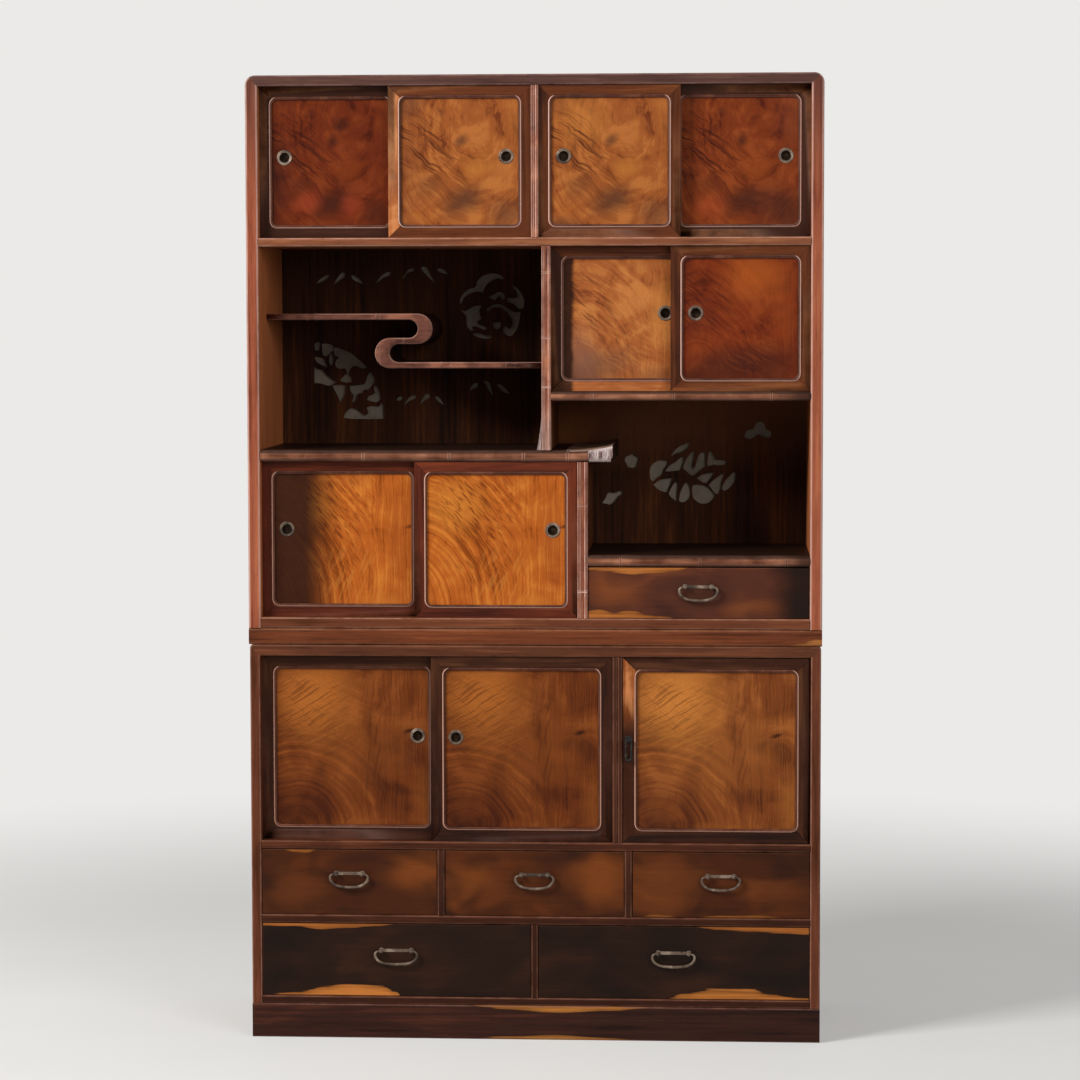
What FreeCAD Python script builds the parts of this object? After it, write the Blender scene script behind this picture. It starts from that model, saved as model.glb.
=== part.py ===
import FreeCAD, Part
import math
import os

# Mizuya kitchen cabinet in two stacked cases. X runs to the right, the front faces -Y, Z is up.
# The origin is on the floor, at the centre of the footprint.

os.makedirs("parts", exist_ok=True)

# Cases
case_width = 1060.0
case_depth = 364.0
upper_side = 23.0
upper_corner = 18.0
lower_inset = 1.5
lower_side = 19.0
lower_corner = 6.5
edge_round = 4.5
overrun = 20.0
match = 0.001

# Heights of the lower case, upwards from the floor
plinth_height = 64.0
bottom_board = 15.0
large_drawer_height = 137.0
drawer_board = 16.0
small_drawer_height = 123.0
door_board = 16.0
base_door_height = 345.0
lower_top = 21.0

# Heights of the upper case, upwards from the joint
moulding_height = 31.0
sill_board = 20.0
low_cupboard_height = 288.0
root_shelf = 22.0
left_niche_height = 374.0
row_shelf = 16.0
row_door_height = 277.0
upper_top = 20.0
niche_drawer_height = 95.0
drawer_shelf = 22.0
right_niche_height = 283.5
cupboard_shelf = 17.5

# Posts and dividers, by width and by the place of their centres
row_post_width = 13.5
row_post_x = 2.5
tall_post_width = 16.5
tall_post_x = 23.0
short_post_width = 18.5
short_post_x = 89.6
door_post_width = 18.5
door_post_x = 154.0
small_divider = 14.0
small_divider_x = 174.0
large_divider = 13.0
post_depth = 44.0
partition_board = 12.0
node_height = 3.2
node_swell = 0.9
node_depth = 5.0
tall_node_shares = (0.13, 0.45, 0.69)
short_node_shares = (0.28, 0.83)
shelf_node_shares = (0.16, 0.48, 0.85)
drawer_shelf_node_shares = (0.5,)
shelf_round_share = 0.45
root_node_shares = (0.29, 0.54, 0.75, 0.87)
stagger_upper_node_shares = (0.28, 0.77)
stagger_lower_node_shares = (0.29, 0.80)

# Back of the case and openwork
back_rebate = 6.0
back_board = 8.0
back_planks = 4
openwork_gap = 35.0
openwork_board = 6.0
lining = 1.0

# Moulding and plinth frames
moulding_rail = 34.0
moulding_round = 7.0
plinth_board = 22.0
plinth_round = 4.0
stretcher_width = 60.0

# Root-end shelf
root_overhang = 46.0
root_rise = 9.0
root_mid_rise_share = 0.28
root_swell_length = 85.0
root_nick = 5.0
root_waist_share = 0.4
root_pit_radius = 5.5
root_pit_stand_share = 0.35
root_pit_inset = 9.0
root_pit_pitch = 12.0
root_pits = 3
flare_width = 9.0
flare_height = 85.0
flare_mid_width_share = 0.3
flare_mid_height_share = 0.45

# Staggered shelf, a ribbon bent into an S that swells in its two bends
stagger_setback = 100.0
stagger_board = 12.0
stagger_drop = 128.9
stagger_step = 90.7
stagger_first = 267.4
stagger_shift = 19.3
stagger_swell = 16.0
stagger_round = 3.0

# Sliding doors
door_recess = 6.0
door_board_thick = 15.0
door_gap = 3.0
upper_stile = 17.5
base_stile = 20.5
door_corner = 15.0
door_arris = 1.0
bead_width = 6.0
bead_proud = 0.5
bead_chamfer = 1.8
panel_recess = 4.0
panel_board = 6.0
panel_seat = 6.0
running_gap = 0.3
top_gap = 1.2
track_slack = 0.5
tongue = 6.0
tongue_up = 7.0
tongue_down = 2.5
track_up = 9.0
track_down = 3.0
row_overlap = 22.0
right_overlap = 36.0
low_overlap = 15.5
base_overlap = 19.0
row_pull_share = 0.534
right_pull_share = 0.538
low_pull_share = 0.5625
base_pull_share = 0.562

# Round pulls
pull_inset = 46.0
pull_radius = 14.0
pull_flange = 1.2
cup_radius = 9.5
cup_wall = 0.9
cup_depth = 6.8

# Hinged door
hinged_board = 18.0
hinged_recess = 4.0
hinged_gap = 1.0
pivot_radius = 2.5
pivot_slack = 0.05
pivot_in_door = 14.0
pivot_in_board = 8.0
stop_width = 8.0
stop_depth = 12.0

# Drop pull of the hinged door
drop_share = 0.558
drop_width = 13.0
drop_length = 40.0
drop_wire = 1.7
drop_bend = 3.5
drop_stand = 7.0
drop_eye = 4.6
drop_eye_width = 4.4
drop_slack = 0.1
drop_rose = 8.0
drop_rose_board = 1.4
drop_stem = 1.7

# Drawers
drawer_recess = 3.0
drawer_gap = 1.0
drawer_front = 18.0
drawer_side = 10.0
drawer_lap = 8.0
drawer_bottom = 6.0
drawer_lift = 4.0
drawer_groove = 4.0
drawer_side_drop = 5.0
drawer_back_gap = 21.0
drawer_arris = 1.5

# Bail pulls
fitting_flats = 8
knob_chamfer_share = 0.45
bail_posts = 48.5
bail_width = 76.0
bail_wire = 2.5
bail_drop = 25.5
bail_shoulder = 6.4
bail_corner = 12.0
bail_pin = 1.5
bail_pin_end = 2.5
bail_slack = 0.1
bail_stand = 8.0
bail_ball = 4.4
bail_stem = 2.4
bail_clinch = 5.0
bail_clinch_board = 1.6
strip_height = 9.0
strip_round_share = 0.9
strip_board = 1.3
strip_reach = 7.0
small_bail_share = 0.63
large_bail_share = 0.63
niche_bail_share = 0.62
large_bail_extra = 8.0

# Openwork. Each motif hangs on a centre at a share of its panel's width and height, and its marks are
# measured from there in one motif unit. A drop is a point, the centre of its round end and that radius.
motif_unit = 38.7
sprig_shares = ((0.213, 0.850), (0.376, 0.852), (0.532, 0.870), (0.508, 0.225), (0.767, 0.276))
sprig_drops = (
    ((-1.20, -0.18, -0.56, 0.10, 0.09), (-0.30, -0.23, 0.20, 0.23, 0.10), (1.25, -0.25, 0.70, 0.10, 0.09)),
    ((-0.40, -0.22, 0.25, 0.20, 0.09),),
    ((-1.10, -0.18, -0.68, 0.23, 0.09), (0.50, -0.42, -0.05, 0.25, 0.14), (1.12, -0.02, 0.65, 0.26, 0.08)),
    ((-1.20, -0.03, -0.92, 0.10, 0.07), (-0.72, -0.22, -0.25, 0.17, 0.09), (0.0, -0.22, 0.40, 0.23, 0.09),
     (1.22, -0.22, 0.85, 0.13, 0.10)),
    ((-1.0, -0.02, -0.68, 0.28, 0.10), (0.22, -0.37, -0.20, 0.33, 0.14), (1.02, -0.22, 0.40, 0.20, 0.12)),
)
plum_share = (0.779, 0.709)
# Crescents of the plum roundel: a disc and the disc that bites it, each as centre and radius
plum_crescents = (
    (0.0, 0.80, 0.78, 0.17, 0.62, 0.67),
    (-0.92, 0.15, 0.72, -0.75, 0.0, 0.70),
    (0.80, 0.20, 0.78, 0.60, 0.15, 0.70),
    (0.20, 0.40, 0.36, 0.20, 0.22, 0.34),
    (-0.45, -0.90, 0.75, -0.42, -0.70, 0.80),
    (0.72, -0.70, 0.76, 0.42, -0.90, 0.60),
)
plum_drops = ((1.22, -0.02, 0.86, 0.34, 0.11), (-0.02, -1.12, 0.22, -0.90, 0.12))
plum_petal = ((-1.45, -0.20), (-1.05, 0.02), (-0.60, 0.05), (-0.50, -0.40), (-0.55, -0.80), (-0.65, -1.12),
              (-0.98, -0.95), (-1.20, -0.60))
fan_share = (0.092, 0.126)
fan_radius = 3.83
# Cells of the fan: first and last angle, inner and outer radius by the fan's radius
fan_cell_shares = (
    (80, 85, 0.86, 1.0),
    (70.5, 78, 0.87, 1.0),
    (70.5, 82, 0.70, 0.83),
    (42, 68, 0.76, 1.0),
    (28, 37, 0.87, 1.0),
    (15, 26, 0.86, 1.0),
    (1, 12, 0.62, 1.0),
    (44, 82, 0.48, 0.66),
    (20, 40, 0.50, 0.74),
    (1, 14, 0.48, 0.57),
)
# Leaves left standing in the fan: angle, distance, length and width by the radius, turn
fan_leaf_shares = (
    (44, 0.86, 0.24, 0.70, 20),
    (62, 0.84, 0.22, 0.45, 70),
    (76, 0.94, 0.16, 0.45, 20),
    (77, 0.76, 0.16, 0.40, 100),
    (21, 0.90, 0.24, 0.40, 115),
    (32, 0.93, 0.14, 0.45, 40),
    (7, 0.74, 0.26, 0.32, 145),
    (66, 0.585, 0.30, 0.30, 100),
    (34, 0.63, 0.24, 0.42, 35),
    (24, 0.56, 0.16, 0.40, 120),
)
roundel_share = (0.543, 0.466)
roundel_drops = (
    (-1.12, 0.10, -1.74, 0.28, 0.38),
    (-1.09, -0.23, -1.55, -0.55, 0.27),
    (-0.86, -0.36, -0.92, -0.93, 0.24),
    (-0.60, -0.40, -0.42, -0.95, 0.27),
    (0.06, -0.46, 0.52, -0.95, 0.42),
    (1.58, 0.12, 1.18, -0.53, 0.31),
    (2.06, 0.22, 1.80, -0.36, 0.26),
)
# Blades: two points and the width between the arcs
roundel_blades = (
    (-1.02, 1.0, -0.20, 1.58, 0.30),
    (-1.22, 0.16, -0.50, 0.86, 0.42),
    (-0.34, 0.26, 0.02, 1.18, 0.34),
    (0.55, 1.14, 0.16, -0.02, 0.44),
    (0.78, 1.17, 1.02, 0.56, 0.24),
    (1.0, 0.50, 1.72, 0.68, 0.24),
    (0.22, -0.22, 1.12, 0.18, 0.32),
)
cloud_share = (0.806, 0.766)
cloud_puffs = ((0.0, 0.15, 0.32), (-0.48, -0.17, 0.20), (0.45, -0.17, 0.22))
cloud_bite = (0.02, -0.36, 0.22)
blossom_share = (0.299, 0.564)
blossom_ring = 0.18
blossom_petal = 0.19
bird_share = (0.218, 0.309)
bird_blades = ((-0.50, -0.24, 0.42, 0.18, 0.34), (0.05, 0.0, 0.54, 0.36, 0.18))

# Levels of the lower case
z_bottom = plinth_height
z_large = z_bottom + bottom_board
z_drawer_board = z_large + large_drawer_height
z_small = z_drawer_board + drawer_board
z_door_board = z_small + small_drawer_height
z_base_doors = z_door_board + door_board
z_lower_top = z_base_doors + base_door_height
z_joint = z_lower_top + lower_top

# Levels of the upper case
z_sill = z_joint + moulding_height
z_low = z_sill + sill_board
z_root = z_low + low_cupboard_height
z_niche = z_root + root_shelf
z_row_shelf = z_niche + left_niche_height
z_row = z_row_shelf + row_shelf
z_upper_top = z_row + row_door_height
z_total = z_upper_top + upper_top
z_drawer_shelf = z_low + niche_drawer_height
z_right_niche = z_drawer_shelf + drawer_shelf
z_cupboard_shelf = z_right_niche + right_niche_height
z_cupboard = z_cupboard_shelf + cupboard_shelf

# Planes and edges shared by the pieces
y_front = -case_depth / 2
y_rear = case_depth / 2
y_back = y_rear - back_rebate - back_board
y_openwork = y_back - openwork_gap
y_door_front = y_front + door_recess
y_door_rear = y_door_front + door_board_thick + door_gap
half_upper = case_width / 2
half_lower = half_upper - lower_inset
inner_upper = half_upper - upper_side
inner_lower = half_lower - lower_side
row_left = row_post_x - row_post_width / 2
row_right = row_post_x + row_post_width / 2
tall_left = tall_post_x - tall_post_width / 2
tall_right = tall_post_x + tall_post_width / 2
short_left = short_post_x - short_post_width / 2
short_right = short_post_x + short_post_width / 2
door_post_left = door_post_x - door_post_width / 2
door_post_right = door_post_x + door_post_width / 2
root_end = short_right + root_overhang

axis_x = FreeCAD.Vector(1, 0, 0)
axis_y = FreeCAD.Vector(0, 1, 0)
axis_z = FreeCAD.Vector(0, 0, 1)


def point(x, y, z):
    return FreeCAD.Vector(x, y, z)


def box(x0, x1, y0, y1, z0, z1):
    return Part.makeBox(x1 - x0, y1 - y0, z1 - z0, point(x0, y0, z0))


def rod(radius, length, start, direction):
    return Part.makeCylinder(radius, length, start, direction)


def flat_section(radius, start, direction):
    """A closed outline of eight flats, square to a level direction."""
    across = axis_z.cross(direction)
    corners = []
    for k in range(fitting_flats):
        turn = math.radians(360 / fitting_flats * (k + 0.5))
        corners.append(start + across * (radius * math.cos(turn)) + axis_z * (radius * math.sin(turn)))
    return Part.makePolygon(corners + corners[:1])


def flat_rod(radius, length, start, direction):
    """A bar of eight flats."""
    return Part.Face(flat_section(radius, start, direction)).extrude(direction * length)


def edges_along(shape, direction, y=None):
    """Straight edges along a direction, and only those at depth y where one is given."""
    found = []
    for edge in shape.Edges:
        if edge.Curve.TypeId != "Part::GeomLine":
            continue
        if abs(abs(edge.Curve.Direction.dot(direction)) - 1) > match:
            continue
        if y is None or all(abs(v.Y - y) < match for v in edge.Vertexes):
            found.append(edge)
    return found


def edges_in_front(shape, y, above):
    """Edges lying in the plane at depth y, except those at or under a level."""
    found = []
    for edge in shape.Edges:
        in_plane = all(abs(v.Y - y) < match for v in edge.Vertexes)
        if in_plane and edge.BoundBox.ZMax > above + match:
            found.append(edge)
    return found


def board_x(x0, x1, y0, y1, z0, z1, radius):
    """A board running along X with its two front arrises rounded."""
    board = box(x0, x1, y0, y1, z0, z1)
    return board.makeFillet(radius, edges_along(board, axis_x, y0))


def board_z(x0, x1, y0, y1, z0, z1, radius):
    """A board standing along Z with its two front arrises rounded."""
    board = box(x0, x1, y0, y1, z0, z1)
    return board.makeFillet(radius, edges_along(board, axis_z, y0))


def rounded_block(x0, x1, y0, y1, z0, z1, radius):
    """A block whose four edges along Y are rounded."""
    block = box(x0, x1, y0, y1, z0, z1)
    return block.makeFillet(radius, edges_along(block, axis_y))


def outline_block(corners, y0, y1):
    """A prism along Y over an outline given by its corners in X and Z."""
    points = [point(x, y0, z) for x, z in corners]
    face = Part.Face(Part.makePolygon(points + points[:1]))
    return face.extrude(point(0, y1 - y0, 0))


def plan_block(corners, z0, z1):
    """A prism along Z over an outline given by its corners in X and Y."""
    points = [point(x, y, z0) for x, y in corners]
    face = Part.Face(Part.makePolygon(points + points[:1]))
    return face.extrude(point(0, 0, z1 - z0))


def save(name, solids):
    """Write one node; several solids stay separate in it."""
    flat = []
    for shape in solids:
        flat.extend(shape.Solids)
    body = flat[0] if len(flat) == 1 else Part.makeCompound(flat)
    body.exportStep("parts/" + name + ".step")


def cut_all(shape, tools):
    for tool in tools:
        shape = shape.cut(tool)
    return shape


# Tracks

def track(x0, x1, y_door, z, depth):
    """Groove cutter for one door's tongue; a positive depth goes up from z, a negative one down."""
    middle = y_door + door_board_thick / 2
    half = tongue / 2 + track_slack
    return box(x0, x1, middle - half, middle + half, min(z, z + depth), max(z, z + depth))


def upper_tracks(x0, x1, z):
    return [track(x0, x1, y, z, track_up) for y in (y_door_front, y_door_rear)]


def lower_tracks(x0, x1, z):
    return [track(x0, x1, y, z, -track_down) for y in (y_door_front, y_door_rear)]


# Cases

def case_ring(half, side, z0, z1, top, corner):
    """Two sides and a top as one ring open below, then parted at the mitres."""
    outer = box(-half, half, y_front, y_rear, z0, z1)
    corners = [e for e in edges_along(outer, axis_y) if e.BoundBox.ZMin > z0 + match]
    outer = outer.makeFillet(corner, corners)
    inner = box(side - half, half - side, y_front - overrun, y_rear + overrun, z0 - overrun, z1 - top)
    ring = outer.cut(inner)
    ring = ring.makeFillet(edge_round, edges_in_front(ring, y_front, z0))
    reach = max(side, top)
    trapezoid = ((side - half - reach, z1 - top + reach), (side - half, z1 - top),
                 (half - side, z1 - top), (half - side + reach, z1 - top + reach))
    lid = outline_block(trapezoid, y_front - overrun, y_rear + overrun)
    top_piece = ring.common(lid)
    rest = ring.cut(lid)
    left = rest.common(box(-half, 0, y_front, y_rear, z0, z1))
    right = rest.common(box(0, half, y_front, y_rear, z0, z1))
    return left, right, top_piece


def make_upper_case():
    left, right, top = case_ring(half_upper, upper_side, z_sill, z_total, upper_top, upper_corner)
    tracks = upper_tracks(-inner_upper, row_left, z_upper_top)
    tracks += upper_tracks(row_right, inner_upper, z_upper_top)
    save("upper_top_board", [cut_all(top, tracks)])
    save("upper_side_boards", [left, right])


def make_sill():
    board = board_x(-inner_upper, inner_upper, y_front, y_back, z_sill, z_low, edge_round)
    tracks = lower_tracks(-inner_upper, short_left, z_low)
    save("upper_sill_board", [cut_all(board, tracks)])


def frame_pieces(half, rail, z0, z1, front_radius):
    """Four boards on edge, mitred at the corners, the front one rounded along its top and foot."""
    outer = box(-half, half, y_front, y_rear, z0, z1)
    arrises = edges_along(outer, axis_x, y_front)
    outer = outer.makeFillet(front_radius, arrises)
    hollow = box(rail - half, half - rail, y_front + rail, y_rear - rail, z0 - overrun, z1 + overrun)
    ring = outer.cut(hollow)
    depth = y_rear - y_front
    reach = depth / 2
    corners_front = ((-half, y_front), (half, y_front), (half - reach, 0), (reach - half, 0))
    corners_back = ((-half, y_rear), (half, y_rear), (half - reach, 0), (reach - half, 0))
    front = ring.common(plan_block(corners_front, z0, z1))
    back = ring.common(plan_block(corners_back, z0, z1))
    sides = ring.cut(front).cut(back)
    return [front, back] + sides.Solids


def make_moulding():
    save("upper_base_moulding", frame_pieces(half_upper, moulding_rail, z_joint, z_sill, moulding_round))


def make_plinth():
    pieces = frame_pieces(half_lower, plinth_board, 0, plinth_height, plinth_round)
    inside = y_rear - plinth_board
    half = stretcher_width / 2
    stretcher = box(-half, half, -inside, inside, 0, plinth_height)
    save("plinth", pieces + [stretcher])


def make_lower_case():
    left, right, top = case_ring(half_lower, lower_side, z_bottom, z_joint, lower_top, lower_corner)
    tools = upper_tracks(-inner_lower, door_post_left, z_lower_top)
    tools.append(pivot_socket(z_lower_top, 1))
    save("lower_top_board", [cut_all(top, tools)])
    save("lower_side_boards", [left, right])


def make_lower_boards():
    levels = ((z_bottom, z_large), (z_drawer_board, z_small), (z_door_board, z_base_doors))
    boards = []
    for z0, z1 in levels:
        boards.append(board_x(-inner_lower, inner_lower, y_front, y_back, z0, z1, edge_round))
    tools = lower_tracks(-inner_lower, door_post_left, z_base_doors)
    tools.append(pivot_socket(z_base_doors, -1))
    boards[-1] = cut_all(boards[-1], tools)
    save("lower_rails_and_boards", boards)


def make_lower_dividers():
    pieces = [beaded_post(door_post_left, door_post_right, y_back, z_base_doors, z_lower_top)]
    for centre in (-small_divider_x, small_divider_x):
        x0 = centre - small_divider / 2
        pieces.append(board_z(x0, x0 + small_divider, y_front, y_back, z_small, z_door_board, edge_round))
    x0 = -large_divider / 2
    pieces.append(board_z(x0, x0 + large_divider, y_front, y_back, z_large, z_drawer_board, edge_round))
    y_stop = y_front + hinged_recess + hinged_board + running_gap
    pieces.append(box(door_post_right, door_post_right + stop_width, y_stop, y_stop + stop_depth,
                      z_base_doors, z_lower_top))
    save("lower_dividers", pieces)


def make_back_boards():
    planks = []
    for half, z0, z1 in ((inner_lower, z_bottom, z_lower_top), (inner_upper, z_sill, z_upper_top)):
        width = 2 * half / back_planks
        for k in range(back_planks):
            x0 = -half + k * width
            planks.append(box(x0, x0 + width, y_back, y_back + back_board, z0, z1))
    save("back_boards", planks)


# Posts, partitions and shelves

def beaded_post(x0, x1, y1, z0, z1):
    """An upright whose front is two convex beads side by side."""
    radius = (x1 - x0) / 4
    body = box(x0, x1, y_front + radius, y1, z0, z1)
    for centre in (x0 + radius, x1 - radius):
        body = body.fuse(rod(radius, z1 - z0, point(centre, y_front + radius, z0), axis_z))
    return body.removeSplitter()


def with_nodes(post, x0, x1, z0, z1, shares):
    """Bamboo joints: a low band across both beads at each share of the height."""
    radius = (x1 - x0) / 4
    front = box(x0 - node_swell, x1 + node_swell, y_front - node_swell, y_front + node_depth, z0, z1)
    for share in shares:
        level = z0 + share * (z1 - z0) - node_height / 2
        for centre in (x0 + radius, x1 - radius):
            band = rod(radius + node_swell, node_height, point(centre, y_front + radius, level), axis_z)
            post = post.fuse(band.common(front))
    return post.removeSplitter()


def root_flare():
    """The foot of the tall post spreads to the left like a root."""
    foot = Part.BSplineCurve()
    foot.interpolate([
        point(tall_left, y_front + edge_round, z_niche + flare_height),
        point(tall_left - flare_width * flare_mid_width_share, y_front + edge_round,
              z_niche + flare_height * flare_mid_height_share),
        point(tall_left - flare_width, y_front + edge_round, z_niche),
    ])
    start = point(tall_left, y_front + edge_round, z_niche + flare_height)
    corner = point(tall_left, y_front + edge_round, z_niche)
    end = point(tall_left - flare_width, y_front + edge_round, z_niche)
    wire = Part.Wire([foot.toShape(), Part.makeLine(end, corner), Part.makeLine(corner, start)])
    return Part.Face(wire).extrude(point(0, post_depth - edge_round, 0))


def make_posts():
    row = beaded_post(row_left, row_right, y_front + post_depth, z_row, z_upper_top)
    tall = beaded_post(tall_left, tall_right, y_front + post_depth, z_niche, z_row_shelf)
    tall = with_nodes(tall, tall_left, tall_right, z_niche, z_row_shelf, [1 - s for s in tall_node_shares])
    tall = tall.fuse(root_flare()).removeSplitter()
    short = beaded_post(short_left, short_right, y_front + post_depth, z_low, z_root)
    short = with_nodes(short, short_left, short_right, z_low, z_root, [1 - s for s in short_node_shares])
    save("bamboo_posts", [row, tall, short])


def make_partitions():
    half = partition_board / 2
    y0 = y_front + post_depth
    tall = box(tall_post_x - half, tall_post_x + half, y0, y_back, z_niche, z_row_shelf)
    low = box(short_post_x - half, short_post_x + half, y0, y_back, z_low, z_root)
    save("cupboard_partitions", [tall, low])


def edge_band(x, z0, z1, share_y):
    """A bamboo joint across a shelf's rounded front edge."""
    radius = (z1 - z0) / 2
    band = rod(radius + node_swell, node_height, point(x - node_height / 2, share_y + radius, z0 + radius), axis_x)
    front = box(x - node_height, x + node_height, share_y - node_swell, share_y + node_depth,
                z0 - node_swell, z1 + node_swell)
    return band.common(front)


def make_row_shelf():
    board = board_x(-inner_upper, inner_upper, y_front, y_back, z_row_shelf, z_row, edge_round)
    tools = lower_tracks(-inner_upper, row_left, z_row)
    tools += lower_tracks(row_right, inner_upper, z_row)
    tools += upper_tracks(tall_right, inner_upper, z_row_shelf)
    save("top_row_shelf", [cut_all(board, tools)])


def bamboo_shelf(x0, x1, z0, z1, shares):
    board = board_x(x0, x1, y_front, y_back, z0, z1, shelf_round_share * (z1 - z0))
    for share in shares:
        board = board.fuse(edge_band(x0 + share * (x1 - x0), z0, z1, y_front))
    return board.removeSplitter()


def make_bamboo_shelves():
    upper = bamboo_shelf(tall_right, inner_upper, z_cupboard_shelf, z_cupboard, shelf_node_shares)
    upper = cut_all(upper, lower_tracks(tall_right, inner_upper, z_cupboard))
    upper = upper.fuse(shelf_tail(tall_post_x, tall_right, z_cupboard_shelf, z_cupboard))
    lower = bamboo_shelf(short_right, inner_upper, z_drawer_shelf, z_right_niche, drawer_shelf_node_shares)
    lower = lower.fuse(shelf_tail(short_post_x, short_right, z_drawer_shelf, z_right_niche))
    save("bamboo_edge_shelves", [upper.removeSplitter(), lower.removeSplitter()])


def shelf_tail(x0, x1, z0, z1):
    """The part of a shelf that reaches its thinner partition, behind the post."""
    return box(x0 + partition_board / 2, x1, y_front + post_depth, y_back, z0, z1)


def make_root_shelf():
    """A board whose right end swells upwards and is left as carved root."""
    rise = Part.BSplineCurve()
    level = z_niche
    x_swell = root_end - root_swell_length
    rise.interpolate([
        point(x_swell, y_front, level),
        point(root_end - root_swell_length / 2, y_front, level + root_rise * root_mid_rise_share),
        point(root_end, y_front, level + root_rise),
    ])
    corners = [
        point(root_end, y_front, level + root_rise),
        point(root_end - root_nick * root_waist_share, y_front, z_root + root_shelf / 2),
        point(root_end, y_front, z_root + root_nick),
        point(root_end - root_nick, y_front, z_root),
        point(-inner_upper, y_front, z_root),
        point(-inner_upper, y_front, level),
        point(x_swell, y_front, level),
    ]
    edges = [rise.toShape()]
    for a, b in zip(corners, corners[1:]):
        edges.append(Part.makeLine(a, b))
    board = Part.Face(Part.Wire(edges)).extrude(point(0, y_openwork - y_front, 0))
    tail = box(-inner_upper, short_post_x + partition_board / 2, y_openwork, y_back, z_root, z_niche)
    board = board.fuse(tail).removeSplitter()
    board = board.makeFillet(edge_round, [e for e in edges_along(board, axis_x, y_front)])
    for share in root_node_shares:
        x = -inner_upper + share * (root_end + inner_upper)
        board = board.fuse(edge_band(x, z_root, z_niche, y_front))
    for k in range(root_pits):
        x = root_end - root_pit_inset - k * root_pit_pitch
        y = y_front - root_pit_radius * root_pit_stand_share
        pit = Part.makeSphere(root_pit_radius, point(x, y, z_root + root_nick))
        board = board.cut(pit)
    tools = upper_tracks(-inner_upper, short_left, z_root)
    save("root_end_shelf", [cut_all(board, tools)])


def stagger_outline(x0, x1, x_a, x_b, z_upper, z_lower):
    """The ribbon's outline: an upper run, a bend to the right, a bend to the left and a lower run."""
    half = stagger_board / 2
    bend = stagger_step / 4
    z_a = z_upper - bend
    z_b = z_lower + bend
    middle = (z_upper + z_lower) / 2
    out_a = x_a + stagger_swell
    out_b = x_b - stagger_swell

    def at(x, z):
        return point(x, y_front + stagger_setback, z)

    def turn(start, x, z, end):
        return Part.Arc(at(*start), at(x, z), at(*end)).toShape()

    corners = [(x0, z_upper + half), (out_a, z_upper + half), (out_a, middle - half), (x_b, middle - half),
               (x_b, z_lower + half), (x1, z_lower + half), (x1, z_lower - half), (out_b, z_lower - half),
               (out_b, middle + half), (x_a, middle + half), (x_a, z_upper - half), (x0, z_upper - half)]
    edges = []
    for start, end in zip(corners[::2], corners[1::2]):
        edges.append(Part.makeLine(at(*start), at(*end)))
    edges.append(turn(corners[1], out_a + bend + half, z_a, corners[2]))
    edges.append(turn(corners[3], x_b - bend + half, z_b, corners[4]))
    edges.append(Part.makeLine(at(*corners[5]), at(*corners[6])))
    edges.append(turn(corners[7], out_b - bend - half, z_b, corners[8]))
    edges.append(turn(corners[9], x_a + bend - half, z_a, corners[10]))
    edges.append(Part.makeLine(at(*corners[11]), at(*corners[0])))
    return Part.Wire(Part.__sortEdges__(edges))


def make_staggered_shelf():
    """Two half-width shelves at different levels, joined by an S bend in one ribbon."""
    x0 = -inner_upper
    x1 = tall_post_x - partition_board / 2
    y0 = y_front + stagger_setback
    z_upper = z_row_shelf - stagger_drop
    z_lower = z_upper - stagger_step
    x_a = x0 + stagger_first
    x_b = x_a - stagger_shift
    half = stagger_board / 2
    wire = stagger_outline(x0, x1, x_a, x_b, z_upper, z_lower)
    ribbon = Part.Face(wire).extrude(point(0, y_openwork - y0, 0))
    arrises = [e for e in edges_in_front(ribbon, y0, z_lower - stagger_step) if e.Length > stagger_board + match]
    ribbon = ribbon.makeFillet(stagger_round, arrises)
    bands = [(x0 + share * (x_a - x0), z_upper) for share in stagger_upper_node_shares]
    bands += [(x_b + share * (x1 - x_b), z_lower) for share in stagger_lower_node_shares]
    bands.append(((x_a + x_b) / 2, (z_upper + z_lower) / 2))
    for x, z in bands:
        ribbon = ribbon.fuse(edge_band(x, z - half, z + half, y0))
    save("staggered_shelf", [ribbon.removeSplitter()])


# Openwork

def openwork_cutter(edges):
    """A cutter through either panel, from edges that lie in the plane at depth y_openwork."""
    face = Part.Face(Part.Wire(edges)).extrude(point(0, 2 * overrun, 0))
    face.translate(point(0, -overrun, 0))
    return face


def disc(x, z, radius):
    return rod(radius, 2 * overrun, point(x, y_openwork - overrun, z), axis_y)


def blade(xa, za, xb, zb, width):
    """A leaf between two arcs that meet in its two points."""
    start = point(xa, y_openwork, za)
    end = point(xb, y_openwork, zb)
    middle = (start + end) / 2
    across = (end - start).cross(axis_y).normalize() * (width / 2)
    return openwork_cutter([
        Part.Arc(start, middle + across, end).toShape(),
        Part.Arc(end, middle - across, start).toShape(),
    ])


def drop(xa, za, xb, zb, radius):
    """A leaf with a point at one end and a round end about a centre."""
    tip = point(xa, y_openwork, za)
    centre = point(xb, y_openwork, zb)
    back = math.atan2(za - zb, xa - xb)
    spread = math.acos(radius / tip.distanceToPoint(centre))

    def rim(angle):
        return centre + point(radius * math.cos(angle), 0, radius * math.sin(angle))

    return openwork_cutter([
        Part.makeLine(tip, rim(back + spread)),
        Part.Arc(rim(back + spread), rim(back + math.pi), rim(back - spread)).toShape(),
        Part.makeLine(rim(back - spread), tip),
    ])


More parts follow.
